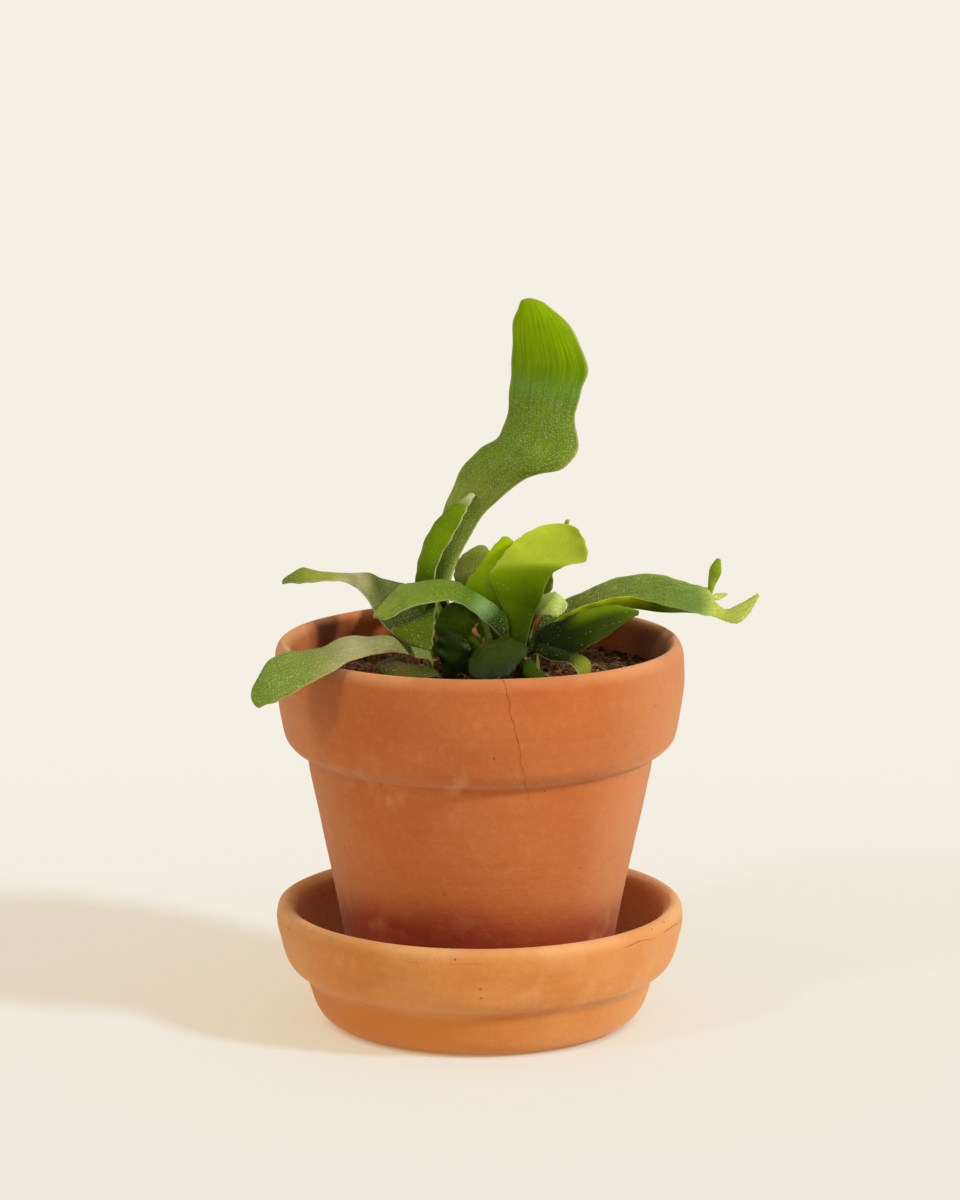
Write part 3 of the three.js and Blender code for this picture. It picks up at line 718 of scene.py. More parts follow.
POT_DAMP_HEIGHT = 0.0425
CRACK_TOP = (0.0075, 0.1223)     # x and z where the crack starts, at the lip
CRACK_SLOPE = -0.2               # how far it strays to the right for each metre down
CRACK_STRAY = 0.0009
CRACK_HALF_WIDTH = 0.00014
CRACK_FADES = 0.092              # height from which it fades
CRACK_END = 0.078
FRONT_BEFORE = -0.05             # y in front of which a point is on the front of the collar


def crack_mask(wiring):
    place = wiring.place()
    axes = wiring.axes(place)
    drop = wiring.minus(axes["Z"], CRACK_TOP[1])
    middle = wiring.plus(wiring.times(drop, CRACK_SLOPE), CRACK_TOP[0])
    shake = wiring.ramp(wiring.noise(place, 150, 3), 0.2, 0.8, -CRACK_STRAY, CRACK_STRAY)
    line = thin_line(wiring, wiring.minus(axes["X"], wiring.plus(middle, shake)), CRACK_HALF_WIDTH)
    front = wiring.calc("LESS_THAN", axes["Y"], FRONT_BEFORE)
    fading = wiring.ramp(axes["Z"], CRACK_END, CRACK_FADES)
    return wiring.times(line, wiring.times(front, fading))


def make_pot_clay():
    material, wiring, shader = new_material("pot_clay", CLAY_SHADER)
    clay = wiring.group(CLAY, {
        "Body": POT_BODY, "Baked": POT_BAKED, "Bloom": POT_BLOOM, "Damp": POT_DAMP,
        "Damp Height": POT_DAMP_HEIGHT, "Damp Inside": 0.1, "Bloom Share": 0.55,
        "Lip Height": top_of(POT_PROFILE), "Dryness": 1.0, "Shaded Foot": 0.0,
        "Step Height": POT_STEP, "Stain And Shade Inside": 0.9,
    })
    finish_clay(wiring, shader, clay, clay["Color"], mark=crack_mask(wiring), dark=POT_DAMP,
                share=0.6, depth=1.0)
    return material


pot = turn_profile("clay_pot", POT_PROFILE, POT_LIP, make_pot_clay())
dress(pot, "pot_clay", "pot")
print("pot faces:", len(pot.data.polygons))

# %% [markdown]
# ### The saucer
#
# The saucer is a yellower clay with a stepped foot, darker on the side away from the light, which
# is painted shade in its baked colour, and it is paler inside. A thin broken seam runs round it
# just under the lip, where the rim was wiped.

# %% Make the saucer
SAUCER_PROFILE = [
    (0, 0), (0.0445, 0), (0.0482, 0.001), (0.051, 0.0032), (0.0528, 0.006), (0.0542, 0.01),
    (0.0556, 0.0142), (0.0576, 0.0164), (0.0602, 0.0184), (0.0618, 0.0208), (0.0628, 0.0236),
    (0.0638, 0.028), (0.0647, 0.032), (0.0647, 0.0354), (0.0641, 0.0374), (0.0622, 0.0386),
    (0.0604, 0.0379), (0.0589, 0.0362), (0.0582, 0.03), (0.0568, 0.024), (0.0544, 0.018),
    (0.0514, 0.0125), (0.0484, 0.0084), (0.0456, 0.0065), (0.0425, 0.006), (0, 0.006),
]
SAUCER_LIP = 16
SAUCER_STEP = 0.0152
SAUCER_SHADED_FOOT = 0.02         # height up to which the foot gets painted shade
SAUCER_BODY = tone(210, 138, 74)
SAUCER_BAKED = tone(198, 114, 42)
SAUCER_BLOOM = tone(232, 182, 126)
SAUCER_DAMP = tone(132, 60, 26)
SAUCER_PALER_INSIDE = tone(225, 170, 137)
PALER_INSIDE_SHARE = 0.25
NOT_DAMP = -0.05                 # a damp line so far below the floor that nothing is damp
SEAM_HEIGHT = 0.0345
SEAM_SWAY = 0.0014
SEAM_HALF_WIDTH = 0.00022


def seam_mask(wiring):
    place = wiring.place()
    sway = wiring.ramp(wiring.noise(place, 30, 3), 0.2, 0.8, -SEAM_SWAY, SEAM_SWAY)
    off = wiring.minus(wiring.axes(place)["Z"], wiring.plus(sway, SEAM_HEIGHT))
    broken = wiring.ramp(wiring.noise(place, 55, 5), 0.48, 0.58)
    outside = wiring.minus(1.0, wiring.attribute("inside"))
    return wiring.times(wiring.times(thin_line(wiring, off, SEAM_HALF_WIDTH), broken), outside)


def make_saucer_clay():
    material, wiring, shader = new_material("saucer_clay", CLAY_SHADER)
    clay = wiring.group(CLAY, {
        "Body": SAUCER_BODY, "Baked": SAUCER_BAKED, "Bloom": SAUCER_BLOOM, "Damp": SAUCER_DAMP,
        "Damp Height": NOT_DAMP, "Damp Inside": 0.0, "Bloom Share": 0.45,
        "Lip Height": top_of(SAUCER_PROFILE), "Dryness": 0.6, "Shaded Foot": SAUCER_SHADED_FOOT,
        "Step Height": SAUCER_STEP, "Stain And Shade Inside": 0.0,
    })
    # the inside of the saucer is paler
    paler_inside = wiring.times(wiring.attribute("inside"), PALER_INSIDE_SHARE)
    colour = wiring.mix(paler_inside, clay["Color"], SAUCER_PALER_INSIDE)
    finish_clay(wiring, shader, clay, colour, mark=seam_mask(wiring), dark=SAUCER_DAMP,
                share=0.6, depth=0.5)
    return material


saucer = turn_profile("clay_saucer", SAUCER_PROFILE, SAUCER_LIP, make_saucer_clay())
dress(saucer, "saucer_clay", "saucer")
print("saucer faces:", len(saucer.data.polygons))

# %% [markdown]
# ## Scattering
#
# Crumbs on the soil, fibres in it, scales on the creeping stem and starry hairs on the leaves
# are all the same job: many copies of one small shape, spread over a surface, each turned and
# sized at random. One Geometry Nodes tree does it. It is thicker where the surface's attribute
# "cover" is high. The copies are made real and given their material, and the result is turned
# into a plain mesh.

# %% A tree that scatters
CHANCE_SEED = 5                  # seed of the number that each copy gets for its colour


def make_scatter():
    tree = bpy.data.node_groups.new("scatter", "GeometryNodeTree")
    sockets = {
        "Surface": "NodeSocketGeometry", "Shape": "NodeSocketObject", "Per Square Metre": NUMBER,
        "Smallest": NUMBER, "Largest": NUMBER, "Tilt": NUMBER, "Seed": "NodeSocketInt",
        "Finish": "NodeSocketMaterial",
    }
    for label, kind in sockets.items():
        tree.interface.new_socket(name=label, in_out="INPUT", socket_type=kind)
    tree.interface.new_socket(name="Scattered", in_out="OUTPUT", socket_type="NodeSocketGeometry")
    wiring = Wiring(tree)
    given = wiring.add("NodeGroupInput").outputs
    cover = wiring.add("GeometryNodeInputNamedAttribute", {"Name": "cover"}, data_type="FLOAT")
    thick = wiring.times(given["Per Square Metre"], cover.outputs["Attribute"])
    spread = wiring.add("GeometryNodeDistributePointsOnFaces",
                        {"Mesh": given["Surface"], "Density": thick, "Seed": given["Seed"]})
    shape = wiring.add("GeometryNodeObjectInfo", {"Object": given["Shape"]})
    size = wiring.add("FunctionNodeRandomValue",
                      {2: given["Smallest"], 3: given["Largest"], "Seed": given["Seed"]},
                      data_type="FLOAT")
    tilt = given["Tilt"]
    back = wiring.times(tilt, -1.0)
    least = wiring.add("ShaderNodeCombineXYZ", {"X": back, "Y": back})
    most = wiring.add("ShaderNodeCombineXYZ", {"X": tilt, "Y": tilt, "Z": math.tau})
    angles = wiring.add("FunctionNodeRandomValue",
                        {0: least.outputs[0], 1: most.outputs[0], "Seed": given["Seed"]},
                        data_type="FLOAT_VECTOR")
    turn = wiring.add("FunctionNodeEulerToRotation", {"Euler": angles.outputs[0]})
    facing = wiring.add("FunctionNodeRotateRotation",
                        {"Rotation": spread.outputs["Rotation"], "Rotate By": turn.outputs[0]},
                        rotation_space="LOCAL")
    copies = wiring.add("GeometryNodeInstanceOnPoints", {
        "Points": spread.outputs["Points"], "Instance": shape.outputs["Geometry"],
        "Rotation": facing.outputs[0], "Scale": size.outputs[1],
    })
    chance = wiring.add("FunctionNodeRandomValue", {"Seed": CHANCE_SEED}, data_type="FLOAT")
    marked = wiring.add("GeometryNodeStoreNamedAttribute",
                        {"Geometry": copies.outputs[0], "Name": "chance", "Value": chance.outputs[1]},
                        data_type="FLOAT", domain="INSTANCE")
    real = wiring.add("GeometryNodeRealizeInstances", {"Geometry": marked.outputs[0]})
    painted = wiring.add("GeometryNodeSetMaterial",
                         {"Geometry": real.outputs[0], "Material": given["Finish"]})
    wiring.add("NodeGroupOutput", {"Scattered": painted.outputs[0]})
    return tree


SCATTER = make_scatter()


def plain(piece):
    """Turns a piece with its modifiers into a plain mesh."""
    graph = bpy.context.evaluated_depsgraph_get()
    made = bpy.data.meshes.new_from_object(piece.evaluated_get(graph))
    piece.modifiers.clear()
    piece.data = made
    return piece


def scatter(name, surface, **values):
    """A new piece of copies spread over a surface. The surface itself isn't changed."""
    piece = surface.copy()
    piece.data = surface.data.copy()
    piece.name = name
    bpy.context.collection.objects.link(piece)
    modifier = piece.modifiers.new("scatter", "NODES")
    modifier.node_group = SCATTER
    for item in SCATTER.interface.items_tree:
        key = item.name.replace(" ", "_").lower()
        if item.in_out == "INPUT" and key in values:
            modifier[item.identifier] = values[key]
    return plain(piece)


def remove(piece):
    bpy.data.objects.remove(piece, do_unlink=True)


print("scatter inputs:", [i.name for i in SCATTER.interface.items_tree if i.in_out == "INPUT"])

# %% [markdown]
# ## Soil
#
# The pot is filled with a dark bark mix. Its top is a grid of rings whose height follows a sum
# of waves, higher near the plant. Its sides follow the pot, so the soil is a closed body.

# %% Make the soil
SOIL_TOP = 0.111
SOIL_RADIUS = 0.0591
SOIL_RELIEF = 0.0011             # how far its waves rise and fall
SOIL_MOUND = 0.0024              # how far it rises at the plant
SOIL_MOUND_REACH = 0.022
SOIL_RINGS = 44
SOIL_BUMP = 0.0006
SOIL_DARK = tone(50, 27, 12)
SOIL_BROWN = tone(116, 68, 32)
SOIL_FINE = tone(64, 44, 24)
SOIL_BARK = tone(138, 86, 42)
CLOD_SCALE = 260
FINE_SCALE = 1300
WET_SCALE = 60
SOIL_GRAIN_SCALE = 1000
SOIL_SIDES = [
    (0, 0.0063), (0.0057, 0.0063), (0.0057, 0.0123), (0.0317, 0.0123), (0.0347, 0.0163),
    (0.0495, 0.0873), (0.0512, 0.0903), (0.0575, 0.0973), (0.0591, 0.1035),
]


def soil_height(x, y):
    """The height of the soil at a place: slow waves, crumbs and the mound at the plant."""
    x, y = x / MM, y / MM
    waves = (np.sin(0.9 * x + 1.3 * np.sin(0.55 * y)) + np.sin(1.1 * y + 1.7 * np.sin(0.45 * x))
             + np.sin(0.6 * (x - y) + 2))
    crumbs = 0.3 * np.sin(2.7 * x + 1.9 * np.sin(2.3 * y)) * np.sin(2.9 * y + 1.1)
    near = np.exp(-(x * x + y * y) / (SOIL_MOUND_REACH / MM) ** 2)
    return SOIL_TOP + SOIL_RELIEF * (waves / 3 + crumbs) + SOIL_MOUND * near


def make_soil_finish():
    material, wiring, shader = new_material("bark_soil", {"Specular IOR Level": 0.2})
    place = wiring.place()
    clods = wiring.ramp(wiring.noise(place, CLOD_SCALE, 5), 0.35, 0.65)
    colour = wiring.mix(clods, SOIL_DARK, SOIL_BROWN)
    fine = wiring.ramp(wiring.noise(place, FINE_SCALE, 4), 0.45, 0.7, 0, 0.6)
    colour = wiring.mix(fine, colour, SOIL_FINE)
    bark = wiring.ramp(wiring.attribute("chance"), 0.3, 1, 0, 0.7)
    colour = wiring.mix(bark, colour, SOIL_BARK)
    rough = wiring.ramp(wiring.noise(place, WET_SCALE, 3), 0.4, 0.6, 0.95, 0.7)
    grain = wiring.noise(place, SOIL_GRAIN_SCALE, 5)
    feed(wiring, shader, {"Base Color": colour, "Roughness": rough,
                          "Normal": wiring.bump(grain, SOIL_BUMP)})
    return material


def make_soil(finish):
    rings = [(SOIL_RADIUS * (1 - ring / SOIL_RINGS), SOIL_TOP) for ring in range(SOIL_RINGS + 1)]
    profile = np.array(SOIL_SIDES + rings)
    turns = np.linspace(0, 2 * math.pi, TURNS, endpoint=False)
    radius, turn = np.meshgrid(profile[:, 0], turns, indexing="ij")
    x, y = radius * np.cos(turn), radius * np.sin(turn)
    z = np.repeat(profile[:, 1][:, None], TURNS, axis=1)
    top = z > SOIL_TOP - MM
    z[top] = soil_height(x[top], y[top])
    points = np.stack([x, y, z], axis=-1).reshape(-1, 3)
    faces = ring_faces(len(profile), TURNS)
    soil = new_piece("soil_body", points, faces, finish, {"cover": top.reshape(-1).astype(float)})
    close_poles(soil)
    return soil


soil_finish = make_soil_finish()
soil = make_soil(soil_finish)
dress(soil, "soil", "soil")
print("soil faces:", len(soil.data.polygons))

# %% [markdown]
# ### Crumbs and fibres
#
# The top of the mix is loose: bark crumbs of many sizes, and thin roots and coir fibres, which
# gather in a pale fuzzy tuft on the right. A crumb is a lumpy ball of 20 faces. A fibre is a
# bent three-sided hair.

# %% Scatter crumbs and fibres
CRUMBS_PER_M2 = 420_000
CRUMB_LUMPS = 0.28               # how far its corners stray, as a share of its radius
CRUMB_HEIGHT = 0.7               # its height as a share of its width
CRUMB_LIFT = 0.35                # how far its middle is above the soil, in radii
FIBRES_PER_M2 = 42_000
FIBRE_LENGTH = 0.007
FIBRE_RADIUS = 0.00009
FIBRE_BEND = 0.0012              # how far it bends aside
FIBRE_RISE = 0.0016              # how far its arch stands above its two ends
FIBRE_SINK = 0.0003              # how far its ends are sunk in the soil
FIBRE_TAPER = 0.6                # how much thinner its far end is
FIBRE_STEPS = 5
FIBRE_DARK = tone(104, 66, 34)
FIBRE_PALE = tone(226, 192, 138)
TUFT_AT = (0.038, 0.012)
TUFT_REACH = 0.010
TUFT_THICKNESS = 9               # how many times the usual cover the tuft has at its middle
LOOSE_THICKNESS = 0.5            # and what is left of it elsewhere


def make_crumb():
    form = bmesh.new()
    bmesh.ops.create_icosphere(form, subdivisions=1, radius=1)
    for number, vertex in enumerate(form.verts):
        vertex.co *= 1 + CRUMB_LUMPS * math.sin(5.1 * number)
        vertex.co.z = CRUMB_HEIGHT * vertex.co.z + CRUMB_LIFT
    mesh = bpy.data.meshes.new("crumb")
    form.to_mesh(mesh)
    form.free()
    crumb = bpy.data.objects.new("crumb", mesh)
    bpy.context.collection.objects.link(crumb)
    return crumb


def make_fibre():
    """A hair that rises, bends over and comes back to the ground."""
    points, faces = [], []
    for step in range(FIBRE_STEPS + 1):
        share = step / FIBRE_STEPS
        middle = Vector((FIBRE_LENGTH * (share - 0.5), FIBRE_BEND * math.sin(4 * share),
                         FIBRE_RISE * math.sin(math.pi * share) - FIBRE_SINK))
        thin = FIBRE_RADIUS * (1 - FIBRE_TAPER * share)
        for corner in range(3):
            turn = math.tau * corner / 3
            points.append(middle + Vector((0, thin * math.cos(turn), thin * math.sin(turn))))
    for step in range(FIBRE_STEPS):
        for corner in range(3):
            after = (corner + 1) % 3
            low, high = 3 * step, 3 * step + 3
            faces.append((low + corner, high + corner, high + after, low + after))
    faces += [(0, 1, 2), (3 * FIBRE_STEPS + 2, 3 * FIBRE_STEPS + 1, 3 * FIBRE_STEPS)]
    return new_piece("fibre", points, faces, None)


def make_fibre_finish():
    constants = {"Roughness": 0.8, "Specular IOR Level": 0.2}
    material, wiring, shader = new_material("root_fibre", constants)
    colour = wiring.mix(wiring.attribute("chance"), FIBRE_DARK, FIBRE_PALE)
    feed(wiring, shader, {"Base Color": colour})
    return material


def tuft(surface):
    """Makes the surface's cover much thicker at the tuft of fibres."""
    cover = surface.data.attributes["cover"].data
    for vertex, value in zip(surface.data.vertices, cover):
        reach = math.hypot(vertex.co.x - TUFT_AT[0], vertex.co.y - TUFT_AT[1]) / TUFT_REACH
        value.value *= LOOSE_THICKNESS + TUFT_THICKNESS * math.exp(-reach * reach)


crumb = make_crumb()
fibre = make_fibre()
crumbs = scatter("soil_crumbs", soil, shape=crumb, per_square_metre=CRUMBS_PER_M2,
                 smallest=0.00025, largest=0.0011, tilt=0.6, seed=3, finish=soil_finish)
dress(crumbs, "soil")
tufted = soil.copy()
tufted.data = soil.data.copy()
bpy.context.collection.objects.link(tufted)
tuft(tufted)
fibres = scatter("soil_fibres", tufted, shape=fibre, per_square_metre=FIBRES_PER_M2,
                 smallest=0.5, largest=1.2, tilt=0.6, seed=8, finish=make_fibre_finish())
dress(fibres, "soil")
for spent in (crumb, tufted):
    remove(spent)
print("crumb faces:", len(crumbs.data.polygons), "fibre faces:", len(fibres.data.polygons))

# %% [markdown]
# ## Creeping stem
#
# Every frond leaves a short knobbly stem that is wrapped in papery brown scales. The stem is a
# lumpy ball, and the scales are small pointed leaves scattered thickly over it.

# %% Make the stem
STEM_AT = np.array([0.0015, -0.0015, 0.1125])
STEM_HALF = np.array([0.021, 0.0115, 0.0085])
STEM_LUMPS = 0.06                # how far its knobs stand out, as a share of its size
STEM_ROWS = 28
STEM_SIDES = 56
SCALES_PER_M2 = 900_000
SCALE_DARK = tone(84, 58, 28)
SCALE_PALE = tone(176, 140, 88)
SCALE_STREAK = tone(60, 44, 22)
SCALE_GRAIN_SCALE = 900
SCALE_BUMP = 0.0002


def make_stem(finish):
    rise, turn = np.meshgrid(np.linspace(0, math.pi, STEM_ROWS),
                             np.linspace(0, math.tau, STEM_SIDES, endpoint=False), indexing="ij")
    ball = np.stack([np.sin(rise) * np.cos(turn), np.sin(rise) * np.sin(turn), np.cos(rise)], axis=-1)
    x, y, z = ball[..., 0], ball[..., 1], ball[..., 2]
    knobs = np.sin(6 * x + 1) * np.sin(5 * y) * np.sin(4 * z + 2)
    points = STEM_AT + STEM_HALF * ball * (1 + STEM_LUMPS * knobs[..., None])
    points = points.reshape(-1, 3)
    faces = ring_faces(STEM_ROWS, STEM_SIDES)
    stem = new_piece("creeping_stem", points, faces, finish, {"cover": np.ones(len(points))})
    close_poles(stem)
    return stem


def make_scale():
    """A pointed papery scale that lifts at its tip, on both sides of its middle."""
    points = [(0, 0, 0), (0.5, -0.28, 0.06), (0.5, 0.28, 0.06), (0.55, 0, 0.16), (1.1, -0.16, 0.22),
              (1.1, 0.16, 0.22), (1.7, 0, 0.5)]
    faces = [(0, 1, 3), (0, 3, 2), (1, 4, 3), (3, 5, 2), (3, 4, 6), (3, 6, 5)]
    return new_piece("scale", points, faces, None)


def make_scale_finish():
    constants = {"Roughness": 0.75, "Specular IOR Level": 0.25}
    material, wiring, shader = new_material("papery_scale", constants)
    colour = wiring.mix(wiring.attribute("chance"), SCALE_DARK, SCALE_PALE)
    grain = wiring.noise(wiring.place(), SCALE_GRAIN_SCALE, 4)
    colour = wiring.mix(wiring.ramp(grain, 0.45, 0.7, 0, 0.5), colour, SCALE_STREAK)
    feed(wiring, shader, {"Base Color": colour, "Normal": wiring.bump(grain, SCALE_BUMP)})
    return material


scale_finish = make_scale_finish()
stem = make_stem(scale_finish)
dress(stem, "crown", "crown")
scale = make_scale()
scales = scatter("stem_scales", stem, shape=scale, per_square_metre=SCALES_PER_M2,
                 smallest=0.0012, largest=0.0026, tilt=0.35, seed=11, finish=scale_finish)
dress(scales, "crown")
for spent in (fibre, scale):
    remove(spent)
print("scale faces:", len(scales.data.polygons))

# %% [markdown]
# ## Fronds
#
# A frond is a leathery blade stretched between its two edges. Each row holds one point of the
# left edge and the point of the right edge across from it, x, y, z, x, y, z, from the stem to
# the tip. "cup" lifts the blade's middle by a share of its width and "wave" ripples its edges.
# A lobe of a forked frond goes on from the cells of the last row that it names. The rows are
# the same as in the source of the solids, here in metres.

FRONDS = {}

# %% Rows of the tall frond and the folded one
FRONDS["tall_frond"] = {
    "cup": 0.1, "wave": 0.0005,
    "edges": [
        (-0.0105, 0.0025, 0.115, -0.007, 0.0015, 0.115),
        (-0.0135, 0.008, 0.1365, -0.01, 0.0035, 0.1375),
        (-0.015, 0.014, 0.1465, -0.007, 0.007, 0.1475),
        (-0.0135, 0.017, 0.1555, -0.002, 0.01, 0.1565),
        (-0.0115, 0.018, 0.1625, 0.003, 0.01, 0.1635),
        (-0.009, 0.018, 0.169, 0.0075, 0.007, 0.168),
        (-0.005, 0.0165, 0.1765, 0.0125, 0.0045, 0.173),
        (0.0, 0.014, 0.182, 0.019, 0.002, 0.176),
        (0.005, 0.011, 0.186, 0.027, 0.001, 0.178),
        (0.0075, 0.01, 0.1905, 0.031, 0.003, 0.184),
        (0.009, 0.009, 0.198, 0.03, 0.004, 0.1945),
        (0.0095, 0.008, 0.205, 0.032, 0.003, 0.202),
        (0.01, 0.007, 0.212, 0.034, 0.002, 0.209),
        (0.01, 0.006, 0.22, 0.031, 0.002, 0.2185),
        (0.011, 0.005, 0.2265, 0.026, 0.003, 0.2255),
        (0.013, 0.005, 0.2305, 0.02, 0.004, 0.23),
    ],
}
FRONDS["folded_frond"] = {
    "cup": 0.14, "wave": 0.0,
    "edges": [
        (-0.013, -0.002, 0.114, -0.011, -0.0035, 0.114),
        (-0.0175, 0.003, 0.1271, -0.0145, 0.0, 0.1271),
        (-0.02, 0.008, 0.1336, -0.0155, 0.004, 0.1336),
        (-0.0205, 0.008, 0.1406, -0.0145, 0.004, 0.1416),
        (-0.0195, 0.008, 0.1476, -0.0125, 0.004, 0.1486),
        (-0.0165, 0.008, 0.156, -0.0085, 0.004, 0.1556),
        (-0.012, 0.008, 0.1621, -0.005, 0.005, 0.1621),
        (-0.0075, 0.008, 0.1656, -0.0035, 0.007, 0.1651),
        (-0.003, 0.009, 0.1686, -0.0015, 0.0085, 0.168),
    ],
}
print("fronds so far:", len(FRONDS))

# %% Rows of the left
FRONDS["left_twisted_frond"] = {
    "cup": 0.08, "wave": 0.0003,
    "edges": [
        (-0.014, 0.0015, 0.114, -0.014, 0.0045, 0.115),
        (-0.017, 0.004, 0.1208, -0.015, 0.01, 0.1268),
        (-0.0225, 0.009, 0.121, -0.019, 0.019, 0.132),
        (-0.0295, 0.014, 0.1234, -0.024, 0.027, 0.136),
        (-0.034, 0.018, 0.1283, -0.03, 0.031, 0.1368),
        (-0.0375, 0.021, 0.1336, -0.036, 0.031, 0.1388),
        (-0.043, 0.0215, 0.1378, -0.043, 0.029, 0.1388),
        (-0.0475, 0.02, 0.1381, -0.0485, 0.027, 0.1398),
        (-0.0535, 0.02, 0.1378, -0.0535, 0.026, 0.1406),
        (-0.058, 0.02, 0.1375, -0.057, 0.0255, 0.1416),
        (-0.0635, 0.022, 0.137, -0.0625, 0.0235, 0.1386),
    ],
}
FRONDS["left_arching_frond"] = {
    "cup": 0.08, "wave": 0.0004,
    "edges": [
        (0.0055, -0.006, 0.114, 0.005, -0.003, 0.115),
        (0.0065, -0.009, 0.1245, 0.0085, -0.0055, 0.127),
        (0.0035, -0.013, 0.1295, 0.007, -0.006, 0.1325),
        (-0.001, -0.017, 0.1345, 0.0025, -0.008, 0.1375),
        (-0.006, -0.02, 0.138, -0.0035, -0.009, 0.1415),
        (-0.011, -0.022, 0.14, -0.0095, -0.01, 0.144),
        (-0.0215, -0.024, 0.138, -0.0215, -0.01, 0.1435),
        (-0.026, -0.024, 0.1355, -0.0245, -0.011, 0.143),
        (-0.0295, -0.023, 0.134, -0.0275, -0.013, 0.1405),
        (-0.033, -0.02, 0.134, -0.0325, -0.018, 0.1355),
    ],
}
FRONDS["left_hanging_frond"] = {
    "cup": 0.08, "wave": 0.0004,
    "edges": [
        (-0.004, -0.0025, 0.114, -0.0065, -0.002, 0.114),
        (-0.008, -0.004, 0.129, -0.0105, -0.0035, 0.129),
        (-0.0105, -0.007, 0.1365, -0.013, -0.0065, 0.1365),
        (-0.013, -0.014, 0.1395, -0.016, -0.0135, 0.139),
        (-0.014, -0.021, 0.136, -0.0185, -0.02, 0.134),
        (-0.014, -0.024, 0.1325, -0.0245, -0.023, 0.132),
        (-0.0145, -0.0255, 0.128, -0.028, -0.023, 0.131),
        (-0.015, -0.026, 0.1255, -0.024, -0.025, 0.1275),
        (-0.0175, -0.026, 0.1255, -0.0205, -0.0255, 0.1265),
    ],
}
FRONDS["over_rim_frond"] = {
    "cup": 0.08, "wave": 0.0006,
    "edges": [
        (-0.015, -0.0075, 0.112, -0.0155, -0.005, 0.1125),
        (-0.016, -0.016, 0.1195, -0.0165, -0.01, 0.1215),
        (-0.02, -0.022, 0.1215, -0.02, -0.0135, 0.124),
        (-0.025, -0.0285, 0.125, -0.0245, -0.018, 0.126),
        (-0.0295, -0.038, 0.1265, -0.0295, -0.025, 0.1295),
        (-0.035, -0.046, 0.1265, -0.035, -0.031, 0.1305),
        (-0.041, -0.05, 0.126, -0.0415, -0.034, 0.1305),
        (-0.047, -0.054, 0.123, -0.0475, -0.038, 0.129),
        (-0.053, -0.058, 0.12, -0.0535, -0.042, 0.1285),
        (-0.0585, -0.06, 0.1175, -0.06, -0.045, 0.128),
        (-0.063, -0.06, 0.1155, -0.065, -0.048, 0.126),
        (-0.0675, -0.058, 0.1135, -0.0695, -0.053, 0.119),
    ],
}
FRONDS["low_left_leaf"] = {
    "cup": 0.1, "wave": 0.0003,
    "edges": [
        (-0.0105, -0.0095, 0.1105, -0.0125, -0.0085, 0.1105),
        (-0.014, -0.021, 0.1155, -0.015, -0.014, 0.116),
        (-0.021, -0.028, 0.116, -0.0215, -0.0165, 0.1185),
        (-0.0265, -0.03, 0.117, -0.026, -0.017, 0.121),
        (-0.0305, -0.028, 0.118, -0.0295, -0.02, 0.1205),
        (-0.0325, -0.025, 0.1185, -0.032, -0.023, 0.1195),
    ],
}
print("fronds so far:", len(FRONDS))

# %% Rows of the middle
FRONDS["lime_frond"] = {
    "cup": -0.12, "wave": 0.0004,
    "edges": [
        (0.0095, -0.003, 0.114, 0.013, -0.003, 0.114),
        (0.0085, -0.0035, 0.131, 0.0168, -0.0045, 0.131),
        (0.0055, -0.004, 0.137, 0.0195, -0.0065, 0.1375),
        (0.0025, -0.0045, 0.144, 0.0225, -0.008, 0.1455),
        (0.005, -0.005, 0.1485, 0.028, -0.0095, 0.149),
        (0.0085, -0.004, 0.153, 0.0335, -0.01, 0.1505),
        (0.013, -0.002, 0.157, 0.0335, -0.008, 0.155),
        (0.0185, 0.0, 0.1595, 0.031, -0.005, 0.1595),
    ],
}
FRONDS["middle_frond"] = {
    "cup": 0.1, "wave": 0.0003,
    "edges": [
        (0.0065, 0.0005, 0.115, 0.0095, 0.0005, 0.115),
        (0.001, 0.0025, 0.1315, 0.008, 0.0005, 0.1315),
        (-0.0045, 0.0025, 0.1405, 0.0065, -0.0005, 0.1385),
        (-0.0005, 0.003, 0.146, 0.009, 0.0005, 0.144),
        (0.0025, 0.004, 0.1505, 0.0105, 0.002, 0.149),
        (0.007, 0.006, 0.155, 0.0105, 0.0045, 0.154),
    ],
}
FRONDS["grey_back_frond"] = {
    "cup": 0.1, "wave": 0.0002,
    "edges": [
        (0.004, 0.004, 0.114, 0.007, 0.0045, 0.114),
        (-0.002, 0.012, 0.1305, 0.003, 0.009, 0.1305),
        (-0.008, 0.017, 0.1385, 0.001, 0.013, 0.1365),
        (-0.008, 0.02, 0.143, 0.0025, 0.016, 0.1425),
        (-0.0055, 0.022, 0.1465, 0.0035, 0.018, 0.147),
        (-0.0015, 0.023, 0.1485, 0.0025, 0.021, 0.1485),
    ],
}
FRONDS["narrow_back_frond"] = {
    "cup": 0.1, "wave": 0.0002,
    "edges": [
        (0.0105, 0.0045, 0.114, 0.013, 0.004, 0.114),
        (0.0145, 0.012, 0.1305, 0.0175, 0.0085, 0.1305),
        (0.0185, 0.013, 0.1385, 0.023, 0.007, 0.1385),
        (0.0205, 0.013, 0.145, 0.0235, 0.008, 0.144),
        (0.0235, 0.012, 0.1515, 0.0265, 0.009, 0.151),
        (0.0275, 0.01, 0.16, 0.0285, 0.0095, 0.16),
    ],
}
